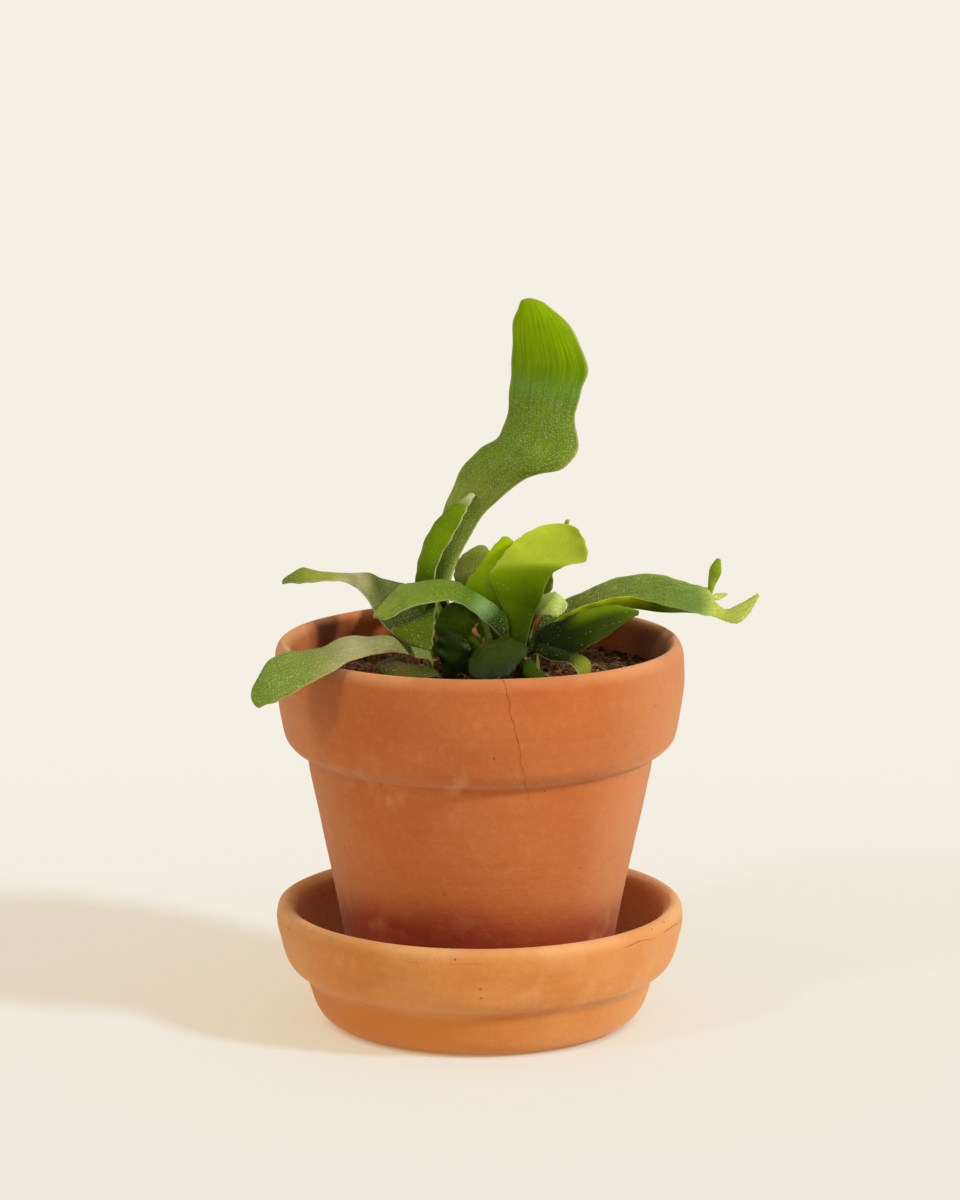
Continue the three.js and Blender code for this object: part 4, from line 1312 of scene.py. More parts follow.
FRONDS["short_front_frond"] = {
    "cup": 0.08, "wave": 0.0002,
    "edges": [
        (0.014, 0.0005, 0.114, 0.0152, -0.0012, 0.1135),
        (0.0148, 0.0005, 0.128, 0.0168, -0.0012, 0.127),
        (0.017, 0.001, 0.134, 0.0185, -0.0025, 0.131),
        (0.02, 0.0005, 0.1375, 0.0215, -0.0055, 0.132),
        (0.0235, -0.001, 0.1388, 0.024, -0.008, 0.132),
        (0.026, -0.0035, 0.1375, 0.026, -0.008, 0.133),
        (0.0275, -0.006, 0.136, 0.027, -0.008, 0.1342),
    ],
}
print("fronds so far:", len(FRONDS))

# %% Rows of the right
FRONDS["right_forked_frond"] = {
    "cup": -0.45, "wave": 0.0002,
    "edges": [
        (0.016, 0.0025, 0.115, 0.0175, 0.0, 0.1145),
        (0.0195, 0.007, 0.1295, 0.021, 0.002, 0.126),
        (0.0265, 0.01, 0.134, 0.026, 0.001, 0.1305),
        (0.0355, 0.0125, 0.1375, 0.0355, 0.0005, 0.135),
        (0.0445, 0.015, 0.1405, 0.045, 0.0005, 0.137),
        (0.055, 0.017, 0.1415, 0.054, 0.001, 0.1355),
        (0.063, 0.0165, 0.1395, 0.063, 0.0015, 0.133),
        (0.069, 0.0155, 0.138, 0.07, 0.001, 0.131),
        (0.073, 0.0145, 0.137, 0.075, 0.0015, 0.13),
    ],
    "lobes": [
        {"cells": (0, 2), "edges": [
            (0.073, 0.0155, 0.14, 0.0755, 0.013, 0.139),
            (0.0735, 0.016, 0.1435, 0.077, 0.013, 0.142),
            (0.0755, 0.0165, 0.146, 0.077, 0.0155, 0.146),
        ]},
        {"cells": (2, 3), "edges": [
            (0.0755, 0.0115, 0.136, 0.076, 0.0095, 0.134),
            (0.0785, 0.0115, 0.136, 0.079, 0.011, 0.1355),
        ]},
        {"cells": (3, 6), "edges": [
            (0.078, 0.005, 0.132, 0.0775, 0.0005, 0.129),
            (0.0825, 0.004, 0.134, 0.0815, -0.001, 0.1285),
            (0.085, 0.0035, 0.1355, 0.085, 0.0, 0.131),
            (0.088, 0.003, 0.1375, 0.0885, 0.003, 0.1365),
        ]},
    ],
}
FRONDS["right_lower_frond"] = {
    "cup": 0.1, "wave": 0.0003,
    "edges": [
        (0.0195, -0.0005, 0.1125, 0.0195, -0.0035, 0.1125),
        (0.0195, -0.001, 0.1265, 0.0185, -0.007, 0.119),
        (0.0265, -0.002, 0.1303, 0.027, -0.012, 0.12),
        (0.0315, -0.0025, 0.1326, 0.033, -0.013, 0.1225),
        (0.038, -0.0025, 0.1344, 0.0395, -0.0105, 0.126),
        (0.045, -0.003, 0.1347, 0.0455, -0.007, 0.1298),
        (0.05, -0.0035, 0.133, 0.05, -0.0045, 0.132),
    ],
}
FRONDS["front_curled_frond"] = {
    "cup": 0.1, "wave": 0.0002,
    "edges": [
        (0.019, -0.0055, 0.1125, 0.0175, -0.008, 0.1125),
        (0.0185, -0.01, 0.1235, 0.017, -0.014, 0.121),
        (0.0225, -0.013, 0.1235, 0.0215, -0.02, 0.1205),
        (0.027, -0.016, 0.1225, 0.0255, -0.026, 0.121),
        (0.032, -0.019, 0.1215, 0.0285, -0.03, 0.121),
        (0.0345, -0.022, 0.12, 0.03, -0.032, 0.119),
        (0.034, -0.024, 0.116, 0.0305, -0.031, 0.1155),
    ],
}
FRONDS["low_front_leaf"] = {
    "cup": 0.08, "wave": 0.0002,
    "edges": [
        (0.0145, -0.01, 0.1125, 0.0125, -0.0105, 0.1125),
        (0.016, -0.017, 0.1205, 0.0135, -0.02, 0.1185),
        (0.0175, -0.0215, 0.119, 0.0135, -0.026, 0.117),
        (0.019, -0.026, 0.118, 0.016, -0.0295, 0.117),
        (0.02, -0.029, 0.1175, 0.019, -0.03, 0.117),
    ],
}
print("fronds so far:", len(FRONDS))

# %% Rows of the back
FRONDS["back_left_frond"] = {
    "cup": 0.1, "wave": 0.0005,
    "edges": [
        (-0.008, 0.005, 0.113, -0.0055, 0.006, 0.113),
        (-0.014, 0.014, 0.122, -0.009, 0.016, 0.124),
        (-0.021, 0.024, 0.126, -0.0125, 0.028, 0.128),
        (-0.0275, 0.034, 0.128, -0.016, 0.04, 0.129),
        (-0.0315, 0.043, 0.128, -0.0185, 0.049, 0.1285),
    ],
    "lobes": [
        {"cells": (0, 3), "edges": [
            (-0.0335, 0.05, 0.127, -0.0285, 0.0525, 0.1275),
            (-0.036, 0.059, 0.1255, -0.0335, 0.0605, 0.1255),
        ]},
        {"cells": (3, 6), "edges": [
            (-0.0265, 0.055, 0.1275, -0.02, 0.0565, 0.1275),
            (-0.026, 0.063, 0.1265, -0.0215, 0.0635, 0.1265),
            (-0.026, 0.07, 0.125, -0.024, 0.07, 0.125),
        ]},
    ],
}
FRONDS["back_middle_frond"] = {
    "cup": 0.1, "wave": 0.0005,
    "edges": [
        (-0.002, 0.007, 0.114, 0.0015, 0.0075, 0.114),
        (-0.005, 0.016, 0.123, 0.002, 0.017, 0.123),
        (-0.007, 0.027, 0.127, 0.003, 0.028, 0.127),
        (-0.008, 0.039, 0.128, 0.006, 0.04, 0.128),
        (-0.0085, 0.05, 0.128, 0.008, 0.05, 0.1275),
    ],
    "lobes": [
        {"cells": (0, 3), "edges": [
            (-0.0095, 0.057, 0.1275, -0.0035, 0.059, 0.1275),
            (-0.012, 0.0645, 0.1265, -0.0075, 0.066, 0.1265),
            (-0.013, 0.07, 0.125, -0.011, 0.071, 0.125),
        ]},
        {"cells": (3, 6), "edges": [
            (0.0035, 0.0585, 0.127, 0.01, 0.0565, 0.127),
            (0.007, 0.066, 0.1265, 0.012, 0.064, 0.126),
            (0.011, 0.072, 0.1245, 0.0135, 0.071, 0.1245),
        ]},
    ],
}
FRONDS["back_right_frond"] = {
    "cup": 0.1, "wave": 0.0005,
    "edges": [
        (0.011, 0.007, 0.113, 0.0135, 0.006, 0.113),
        (0.0165, 0.015, 0.122, 0.021, 0.0115, 0.1215),
        (0.022, 0.025, 0.126, 0.03, 0.019, 0.1255),
        (0.029, 0.035, 0.128, 0.0395, 0.027, 0.1275),
        (0.035, 0.042, 0.129, 0.045, 0.0335, 0.1285),
    ],
    "lobes": [
        {"cells": (0, 3), "edges": [
            (0.0365, 0.0485, 0.129, 0.041, 0.0455, 0.129),
            (0.0395, 0.055, 0.128, 0.044, 0.053, 0.128),
            (0.044, 0.061, 0.126, 0.046, 0.06, 0.126),
        ]},
        {"cells": (3, 6), "edges": [
            (0.046, 0.0405, 0.129, 0.0495, 0.0355, 0.1285),
            (0.0525, 0.0415, 0.128, 0.0545, 0.0365, 0.128),
            (0.06, 0.042, 0.127, 0.0605, 0.0395, 0.127),
        ]},
    ],
}
FRONDS["back_upright_frond"] = {
    "cup": 0.1, "wave": 0.0004,
    "edges": [
        (0.0045, 0.007, 0.113, 0.007, 0.0075, 0.113),
        (0.006, 0.013, 0.125, 0.01, 0.013, 0.125),
        (0.0085, 0.018, 0.136, 0.015, 0.017, 0.136),
        (0.01, 0.025, 0.144, 0.0195, 0.0235, 0.144),
        (0.0125, 0.033, 0.147, 0.0235, 0.031, 0.147),
        (0.014, 0.04, 0.1465, 0.0255, 0.0385, 0.1465),
    ],
    "lobes": [
        {"cells": (0, 3), "edges": [
            (0.014, 0.0465, 0.144, 0.019, 0.048, 0.144),
            (0.013, 0.053, 0.1405, 0.0175, 0.054, 0.1405),
            (0.0135, 0.059, 0.136, 0.0155, 0.0595, 0.136),
        ]},
        {"cells": (3, 6), "edges": [
            (0.021, 0.0475, 0.1435, 0.0265, 0.0455, 0.1435),
            (0.0215, 0.054, 0.14, 0.0255, 0.0525, 0.14),
            (0.0225, 0.061, 0.135, 0.0245, 0.06, 0.135),
        ]},
    ],
}
print("fronds so far:", len(FRONDS))

# %% Rows of the heart
FRONDS["shield_leaf"] = {
    "cup": 0.07, "wave": 0.0009,
    "edges": [
        (0.011, -0.0085, 0.113, 0.0085, -0.007, 0.1145),
        (0.0152, -0.0135, 0.1228, 0.009, -0.0095, 0.125),
        (0.012, -0.02, 0.1188, 0.0035, -0.0135, 0.1258),
        (0.009, -0.0248, 0.1168, -0.001, -0.0175, 0.1242),
        (0.004, -0.0275, 0.116, -0.0035, -0.022, 0.121),
        (-0.0005, -0.028, 0.116, -0.0035, -0.0255, 0.118),
    ],
}
FRONDS["heart_leaf"] = {
    "cup": 0.08, "wave": 0.0007,
    "edges": [
        (-0.007, -0.007, 0.1125, -0.0015, -0.0075, 0.1125),
        (-0.011, -0.008, 0.122, 0.0005, -0.009, 0.122),
        (-0.0135, -0.0085, 0.13, 0.001, -0.0095, 0.129),
        (-0.0125, -0.009, 0.134, -0.0015, -0.0095, 0.1335),
        (-0.0095, -0.0095, 0.1365, -0.005, -0.0095, 0.1365),
    ],
}
FRONDS["heart_shield_leaf"] = {
    "cup": 0.05, "wave": 0.0008,
    "edges": [
        (-0.008, -0.0105, 0.1115, -0.003, -0.011, 0.1115),
        (-0.012, -0.013, 0.1175, -0.002, -0.0135, 0.1168),
        (-0.0138, -0.013, 0.1225, -0.0024, -0.0138, 0.1215),
        (-0.0135, -0.0128, 0.1258, -0.0038, -0.014, 0.1252),
        (-0.012, -0.0124, 0.128, -0.0075, -0.0132, 0.1282),
    ],
}
FRONDS["dry_scale"] = {
    "cup": -0.1, "wave": 0.0002,
    "edges": [
        (0.0035, -0.0095, 0.113, 0.0015, -0.01, 0.113),
        (0.0024, -0.0114, 0.121, 0.0008, -0.0118, 0.121),
        (0.0004, -0.0118, 0.126, -0.0012, -0.0122, 0.126),
        (-0.0012, -0.0122, 0.1288, -0.0026, -0.0126, 0.1282),
        (-0.0006, -0.012, 0.131, -0.0016, -0.0124, 0.1304),
    ],
}
print("fronds so far:", len(FRONDS))

# %% [markdown]
# ### From rows to a thick blade
#
# The rows become two smooth edge curves, and the blade a grid of cells between them. A forked
# frond stays one sheet: each lobe shares the points of the cells that it grows from, so there
# is no seam at the fork. The sheet is then given a thickness that thins out to a rounded
# margin. Each point keeps what the finish needs as attributes: its place across and along the
# blade, how far it is from the margin, which face it is on, and the number of its lobe.

# %% Work out a blade
BLADE_THICKNESS = 0.0009
STALK_THICKNESS = 0.002
STALK_SHARE = 0.22               # share of the length over which the stalk thins to the blade
STEPS_PER_ROW = 6
BLADE_CELLS = 10
FORKED_CELLS = 12
TABLE_CELLS = 6                  # cells across a forked frond in the rows above
LOBE_CUP = 0.08
OPENS_AT = 0.65                  # share of the length from which a forked frond's cup changes
NUDGE = 0.01                     # share of the length over which its direction is measured
TIP_ROUNDING = 0.2               # how far the middle of a tip stands out, in widths
TIP_ROWS = 1.1                   # rows of the table over which a tip rounds off
MARGIN_STRAY = 0.00022           # how far the margin strays from its curve
MARGIN_THIN = 0.3                # share of the thickness that is left at the margin
LOBE_LENGTH = 0.3                # a lobe's length in the lengths of its frond, for the finish
BARE_FADE = 0.16                 # share of the length over which felt fades to a bare tip
HAIRS_START = (0.05, 0.2)        # shares of the length between which the hairs set in


def lengths(vectors):
    return np.linalg.norm(vectors, axis=-1, keepdims=True)


def smooth_step(value, start, end):
    share = np.clip((value - start) / (end - start), 0, 1)
    return share * share * (3 - 2 * share)


def half_thickness(shares):
    stalk = np.maximum(0, 1 - shares / STALK_SHARE)
    return (BLADE_THICKNESS + (STALK_THICKNESS - BLADE_THICKNESS) * stalk) / 2


def blade_grid(left, right, steps, cells, cup, end_cup, wave, first=0, rounding=TIP_ROUNDING):
    """Points of a blade between two edges, row by row, with each row's share of the length."""
    shares = np.arange(first, steps + 1) / steps
    start, end = spline(left, shares), spline(right, shares)

    def middle(at):
        return (spline(left, at) + spline(right, at)) / 2

    ahead = middle(np.minimum(1, shares + NUDGE)) - middle(np.maximum(0, shares - NUDGE))
    ahead /= lengths(ahead)
    across = end - start
    width = lengths(across)
    facing = np.cross(across, ahead)
    facing /= lengths(facing)
    bow = cup + (end_cup - cup) * smooth_step(shares, OPENS_AT, 1)
    bow = (bow * np.minimum(1, shares / STALK_SHARE))[:, None]
    side = np.linspace(-1, 1, cells + 1)[None, :]
    along = shares[:, None]
    rise = bow * width * (1 - side ** 2)
    flutter = wave * np.sin(np.pi * along) * side ** 2 * np.sin(22 * along + 2 * side)
    stray = MARGIN_STRAY * side ** 3 * np.sin(61 * along + 3 * side) * np.minimum(1, along * 3)
    tip = rounding * width * (1 - side ** 2) * smooth_step(along, 1 - TIP_ROWS / len(left), 1)
    grid = start[:, None] + across[:, None] * ((side + 1) / 2)[..., None]
    grid = grid + facing[:, None] * (rise + flutter)[..., None]
    grid = grid + (across / width)[:, None] * stray[..., None] + ahead[:, None] * tip[..., None]
    return grid, shares


class Sheet:
    """A sheet of four-sided cells, grown row by row."""

    def __init__(self):
        self.points, self.quads = [], []
        self.half, self.across, self.along, self.lobe = [], [], [], []

    def add_row(self, row, half, across, along, lobe):
        start = len(self.points)
        self.points += list(row)
        self.half += list(half)
        self.across += list(across)
        self.along += [along] * len(row)
        self.lobe += [lobe] * len(row)
        return list(range(start, len(self.points)))

    def grow(self, rows, below=None):
        for row in rows:
            above = self.add_row(*row)
            if below:
                for cell in range(1, len(above)):
                    self.quads.append((below[cell - 1], below[cell], above[cell], above[cell - 1]))
            below = above
        return below

    def facings(self):
        points, facings = np.array(self.points), np.zeros((len(self.points), 3))
        for a, b, c, d in self.quads:
            facing = np.cross(points[c] - points[a], points[d] - points[b])
            for corner in (a, b, c, d):
                facings[corner] += facing
        return facings / lengths(facings)

    def outline(self):
        """The sides of cells that no other cell shares, in walking order of their cell."""
        sides = {(quad[i], quad[(i + 1) % 4]) for quad in self.quads for i in range(4)}
        return [(a, b) for a, b in sides if (b, a) not in sides]


def margin_profile(cells):
    side = np.linspace(-1, 1, cells + 1)
    return MARGIN_THIN + (1 - MARGIN_THIN) * np.sqrt(1 - np.abs(side) ** 5)


def sheet_rows(grid, shares, half, across, start_along=0.0, length=1.0, lobe=0):
    thin = margin_profile(grid.shape[1] - 1)
    for row, share, thick in zip(grid, shares, half):
        yield row, thick * thin, across, start_along + length * share, lobe


def frond_sheet(edges, cup, wave, lobes=()):
    cells = FORKED_CELLS if lobes else BLADE_CELLS
    edges = np.array(edges)
    sheet = Sheet()
    end_cup = LOBE_CUP if lobes else cup
    steps = STEPS_PER_ROW * len(edges)
    grid, shares = blade_grid(edges[:, :3], edges[:, 3:], steps, cells, cup, end_cup, wave,
                              rounding=0 if lobes else TIP_ROUNDING)
    side = np.linspace(-1, 1, cells + 1)
    last = sheet.grow(sheet_rows(grid, shares, half_thickness(shares), side))
    per_cell = cells // TABLE_CELLS
    for number, lobe in enumerate(lobes, start=1):
        first, after = (per_cell * cell for cell in lobe["cells"])
        foot = last[first:after + 1]
        rows = np.array(lobe["edges"])
        left = np.vstack([sheet.points[foot[0]], rows[:, :3]])
        right = np.vstack([sheet.points[foot[-1]], rows[:, 3:]])
        steps = STEPS_PER_ROW * len(left)
        grid, shares = blade_grid(left, right, steps, after - first, LOBE_CUP, LOBE_CUP, 0, first=1)
        half = np.full(len(shares), BLADE_THICKNESS / 2)
        rows = sheet_rows(grid, shares, half, side[first:after + 1], 1.0, LOBE_LENGTH, number)
        sheet.grow(rows, foot)
    return sheet


def margin_distance(points, outline, first_row):
    """How far each point is from the nearest point of the free margin."""
    rim = sorted({corner for side in outline for corner in side if corner not in first_row})
    gaps = [lengths(points - points[corner])[:, 0] for corner in rim]
    return np.min(gaps, axis=0)


def thick_frond(name, material, edges, cup, wave, lobes=(), felt=(0.5, 0.5), bare_from=2.0):
    sheet = frond_sheet(edges, cup, wave, lobes)
    points, facings = np.array(sheet.points), sheet.facings()
    half = np.array(sheet.half)[:, None]
    count = len(points)
    outline = sheet.outline()
    first_row = set(range((FORKED_CELLS if lobes else BLADE_CELLS) + 1))
    rim = margin_distance(points, outline, first_row)
    faces = list(sheet.quads)
    faces += [tuple(count + corner for corner in reversed(quad)) for quad in sheet.quads]
    faces += [(a, count + a, count + b, b) for a, b in outline]
    along = np.array(sheet.along)
    bare = smooth_step(along, bare_from, bare_from + BARE_FADE)
    haired = smooth_step(along, *HAIRS_START) * (1 - bare)
    attributes = {
        "across": np.tile(sheet.across, 2), "along": np.tile(along, 2), "rim": np.tile(rim, 2),
        "lobe": np.tile(sheet.lobe, 2), "face": np.repeat([1, 0], count),
        "cover": np.concatenate([felt[0] * haired, felt[1] * haired]),
    }
    skins = np.vstack([points + facings * half, points - facings * half])
    frond = new_piece(name, skins, faces, material, attributes)
    smooth = frond.modifiers.new("smooth", "SUBSURF")
    smooth.levels = smooth.render_levels = 1
    return frond


print("blade cells:", BLADE_CELLS, "forked:", FORKED_CELLS)

# %% [markdown]
# ### Leaf finish
#
# Each frond has its own greens, which change from the felted stalk to the fresh tip, so every
# frond gets a material with two colour ramps along the blade, one for each face. What they have
# in common is a group: fine streaks along the blade, soft blotches, pale dots of felt, and a
# pale margin.

# %% What leaf tissue is made of
LANES_ACROSS = 11.0              # how fast the streaks change across the blade
LANES_ALONG = 5.0
LANE_SCALE = 1.6
STREAK_DARK = (0.55, 0.6, 0.4, 1)
STREAK_LIGHT = (1.3, 1.25, 1.2, 1)
BLOTCH_SCALE = 150
BLOTCH_SHARE = 0.3
FELT_DOTS_PER_METRE = 1500
FELT_DOT_SIZE = 0.36
FELT_DOT_SHARE = 0.36
FELT_HAZE_SCALE = 2600
FELT_HAZE_SHARE = 0.25
DOT_RELIEF = 0.4
BARE_ROUGHNESS = 0.46
FELTED_ROUGHNESS = 0.72
MARGIN_CORE = 0.4                # share of the margin's width that is not faded


def leaf_streaks(wiring, across, along):
    lanes = wiring.add("ShaderNodeCombineXYZ", {
        "X": wiring.times(across, LANES_ACROSS), "Y": wiring.times(along, LANES_ALONG),
    })
    return wiring.noise(lanes.outputs[0], LANE_SCALE, 4)


def streaked(wiring, given, streaks, colour):
    """Darker and lighter streaks, and soft dark blotches."""
    shaded = wiring.mix(1.0, colour, STREAK_DARK, "MULTIPLY")
    lit = wiring.mix(1.0, colour, STREAK_LIGHT, "MULTIPLY")
    dark = wiring.times(wiring.ramp(streaks, 0.52, 0.34), given["Streaks"])
    light = wiring.times(wiring.ramp(streaks, 0.52, 0.7), given["Streaks"])
    colour = wiring.mix(dark, colour, shaded)
    colour = wiring.mix(wiring.times(light, 0.8), colour, lit)
    blotched = wiring.noise(wiring.place(), BLOTCH_SCALE, 4)
    return wiring.mix(wiring.ramp(blotched, 0.35, 0.68, 0, BLOTCH_SHARE), colour, shaded)


def felt_share(wiring, given, front, along):
    """How felted a point is: by its face, and nothing past the place where the blade is bare."""
    share = wiring.add("ShaderNodeMix", {0: front, 2: given["Back Felt"], 3: given["Front Felt"]})
    bare_end = wiring.plus(given["Bare From"], BARE_FADE)
    return wiring.times(share.outputs[0], wiring.ramp(along, bare_end, given["Bare From"]))


def felted(wiring, given, share, dots, colour):
    """Pale dots of felt, and a haze between them."""
    colour = wiring.mix(wiring.times(dots, FELT_DOT_SHARE), colour, given["Felt"])
    hazy = wiring.noise(wiring.place(), FELT_HAZE_SCALE, 2)
    haze = wiring.ramp(hazy, 0.5, 0.7, 0, FELT_HAZE_SHARE)
    return wiring.mix(wiring.times(share, haze), colour, given["Felt"])


def pale_margin(wiring, given, across, colour):
    width = given["Margin Width"]
    margin = wiring.ramp(wiring.attribute("rim"), width, wiring.times(width, MARGIN_CORE))
    sides = wiring.ramp(across, -0.3, 0.3, given["Left Margin"], given["Right Margin"])
    return wiring.mix(wiring.times(margin, sides), colour, given["Margin"])


print("streaks across and along:", LANES_ACROSS, LANES_ALONG)

# %% A group for leaf tissue
def make_leaf_group():
    colours = ("Front", "Back", "Margin", "Felt")
    numbers = ("Margin Width", "Left Margin", "Right Margin", "Front Felt", "Back Felt",
               "Bare From", "Streaks")
    group, wiring, given = shader_group(
        "leaf tissue",
        dict.fromkeys(colours, COLOUR) | dict.fromkeys(numbers, NUMBER),
        {"Color": COLOUR, "Roughness": NUMBER, "Height": NUMBER},
    )
    across, along = wiring.attribute("across"), wiring.attribute("along")
    front = wiring.ramp(wiring.attribute("face"), 0.4, 0.6)
    streaks = leaf_streaks(wiring, across, along)
    colour = wiring.mix(front, given["Back"], given["Front"])
    colour = streaked(wiring, given, streaks, colour)
    share = felt_share(wiring, given, front, along)
    dots = wiring.group(SPECKLES, {"Per Metre": FELT_DOTS_PER_METRE, "Size": FELT_DOT_SIZE,
                                   "Kept": share})["Mask"]
    colour = felted(wiring, given, share, dots, colour)
    colour = pale_margin(wiring, given, across, colour)
    ribbed = wiring.times(streaks, wiring.ramp(given["Streaks"], 0, 0.5))
    height = wiring.plus(ribbed, wiring.times(dots, DOT_RELIEF))
    rough = wiring.ramp(share, 0, 1, BARE_ROUGHNESS, FELTED_ROUGHNESS)
    finish_group(wiring, {"Color": colour, "Roughness": rough, "Height": height})
    return group


LEAF = make_leaf_group()
print("leaf inputs:", len([i for i in LEAF.interface.items_tree if i.in_out == "INPUT"]))

# %% Name the greens
STALK = tone(128, 136, 66)
FELT = tone(198, 204, 154)
GREY_GREEN = tone(126, 132, 68)
OLIVE = tone(100, 122, 22)
SHEEN = tone(112, 148, 48)
FRESH = tone(130, 158, 0)
GRASS = tone(98, 126, 0)
MOSS = tone(72, 98, 6)
SHADE = tone(44, 66, 4)
LIME = tone(172, 186, 48)
YELLOWED = tone(197, 189, 134)
TAN = tone(176, 146, 92)
STRAW = tone(200, 196, 150)
print("greens named")

# %% [markdown]
# The looks of each frond: its slot in the record, the greens of its front and back along its
# length as (share, colour), how pale its left and right margins are, how felted each face is and
# from where on it is bare. A forked frond's first lobe and a glossy leaf may each have a finish
# of their own, and a frond's left edge may be tinted: painted light on the lower right frond's
# upper edge, painted shade on the shield leaf.

# %% Describe looks in one line of values
MARGIN_WIDTH = 0.0005
UNDER_SIDE = [(0, STALK), (0.4, MOSS)]


def look(slot, front, back=UNDER_SIDE, margin=STRAW, margins=(0.15, 0.15), felt=(0.3, 0.3),
         bare_from=2.0, streaks=0.5, gloss=None, first_lobe=None, painted_left_edge=None):
    return dict(slot=slot, front=front, back=back, margin=margin, margins=margins, felt=felt,
                bare_from=bare_from, streaks=streaks, gloss=gloss, first_lobe=first_lobe,
                painted_left_edge=painted_left_edge)


LOOKS = {}
print("margin width in mm:", MARGIN_WIDTH / MM)

# %% Looks of the tall frond and the folded one
LOOKS["tall_frond"] = look(
    "frond_under",
    front=[(0, tone(122, 146, 36)), (0.24, tone(128, 148, 40)), (0.3, tone(148, 164, 60)),
           (0.37, tone(120, 138, 34)), (0.46, tone(108, 132, 10)), (0.66, tone(106, 132, 16)),
           (0.73, SHEEN), (0.79, tone(112, 144, 4)), (0.86, FRESH), (1, tone(138, 166, 0))],
    back=[(0, STALK), (0.4, GRASS)], margin=tone(196, 172, 128), margins=(0.15, 0.5),
    felt=(0.9, 0.3), bare_from=0.62, streaks=0.55)
LOOKS["folded_frond"] = look(
    "frond_upper",
    front=[(0, MOSS), (0.35, tone(60, 86, 0)), (0.52, tone(114, 144, 0)),
           (0.85, tone(110, 130, 0)), (0.97, STRAW)],
    margins=(0.1, 0.7), felt=(0.1, 0.2), streaks=0.35)
print("looks so far:", len(LOOKS))

# %% Looks of the left
TWISTED_STALK = [(0, SHADE), (0.3, tone(84, 96, 36)), (0.46, tone(114, 121, 60))]
TWISTED_TIP = tone(162, 162, 60)
LOOKS["left_twisted_frond"] = look(
    "frond_under",
    front=TWISTED_STALK + [(0.54, YELLOWED), (0.7, TWISTED_TIP), (1, OLIVE)],
    back=TWISTED_STALK + [(0.58, YELLOWED), (0.85, TWISTED_TIP), (1, OLIVE)],
    margins=(0.4, 0.4), felt=(0.6, 0.6))
# Its dark base is painted shade in the crown, and the bluish green at 0.33 is a painted highlight
# where the blade bends.
LOOKS["left_arching_frond"] = look(
    "frond_upper",
    front=[(0, tone(36, 52, 4)), (0.25, tone(46, 66, 8)), (0.33, tone(124, 158, 96)),
           (0.42, tone(84, 112, 8)), (0.55, tone(106, 132, 30)), (1, tone(142, 156, 62))],
    margins=(0.3, 0.15))
LOOKS["left_hanging_frond"] = look(
    "frond_upper",
    front=[(0, SHADE), (0.4, tone(54, 60, 18)), (0.55, tone(76, 92, 2)), (1, tone(98, 116, 18))],
    back=[(0, SHADE), (0.5, tone(74, 80, 22))], margins=(0.2, 0.3), felt=(0.2, 0.3))
LOOKS["over_rim_frond"] = look(
    "frond_upper",
    front=[(0, OLIVE), (0.25, GREY_GREEN), (0.42, tone(136, 134, 82)), (0.52, tone(168, 158, 112)),
           (0.64, tone(134, 138, 66)), (0.75, tone(118, 134, 44)), (1, tone(116, 142, 34))],
    margin=TAN, margins=(0.6, 0.4), felt=(0.9, 0.5))
LOOKS["low_left_leaf"] = look(
    "frond_upper", front=[(0, SHADE), (0.5, tone(87, 80, 30))], margins=(0.1, 0.1),
    felt=(0.2, 0.5))
print("looks so far:", len(LOOKS))

# %% Looks of the middle
LOOKS["lime_frond"] = look(
    "frond_young",
    front=[(0, SHADE), (0.3, tone(88, 112, 0)), (0.45, tone(120, 148, 0)), (0.6, LIME),
           (1, tone(178, 194, 52))],
    back=[(0, MOSS), (0.5, LIME)], margins=(0.1, 0.1), felt=(0.05, 0.2), streaks=0.15)
LOOKS["middle_frond"] = look(
    "frond_young", front=[(0, SHADE), (0.4, tone(138, 170, 0)), (1, tone(166, 190, 0))],
    margins=(0.05, 0.05), felt=(0.05, 0.2), streaks=0.3)
LOOKS["grey_back_frond"] = look(
    "frond_under", front=[(0, STALK), (1, tone(152, 162, 52))], margins=(0.15, 0.3),
    felt=(0.4, 0.5))
LOOKS["narrow_back_frond"] = look(
    "frond_young", front=[(0, STALK), (0.6, tone(140, 150, 50)), (1, LIME)], felt=(0.2, 0.2))
LOOKS["short_front_frond"] = look(
    "frond_young", front=[(0, SHADE), (0.3, tone(100, 122, 24)), (0.42, tone(208, 224, 122))],
    margins=(0.2, 0.2))
print("looks so far:", len(LOOKS))

# %% Looks of the right
# The underside's bright yellow-green up to 0.5 is painted light, to stay bright where it lies in
# shade; past 0.64 it is darker.
LOOKS["right_forked_frond"] = look(
    "frond_upper",
    front=[(0, SHADE), (0.35, tone(110, 122, 42)), (0.7, tone(118, 140, 48)),
           (0.88, tone(121, 155, 68)), (0.98, tone(182, 196, 84)), (1, tone(190, 200, 84))],
    back=[(0, MOSS), (0.3, tone(214, 240, 8)), (0.5, tone(206, 230, 10)), (0.64, tone(84, 112, 4)),
          (0.9, tone(90, 118, 4)), (1, LIME)],
    margin=tone(176, 184, 76), margins=(0.2, 0.4), felt=(0.8, 0.2), first_lobe=tone(140, 162, 28))
# Its very dark greens are painted shade under the forked frond, and its lighter left edge, the upper
# one, is painted light.
LOOKS["right_lower_frond"] = look(
    "frond_dark",
    front=[(0, tone(20, 30, 0)), (0.4, tone(28, 38, 0)), (0.75, tone(54, 70, 0)),
           (1, tone(92, 112, 4))],
    margin=TAN, margins=(0.05, 0.15), felt=(0.05, 0.1), streaks=0.8, painted_left_edge=tone(120, 144, 4))
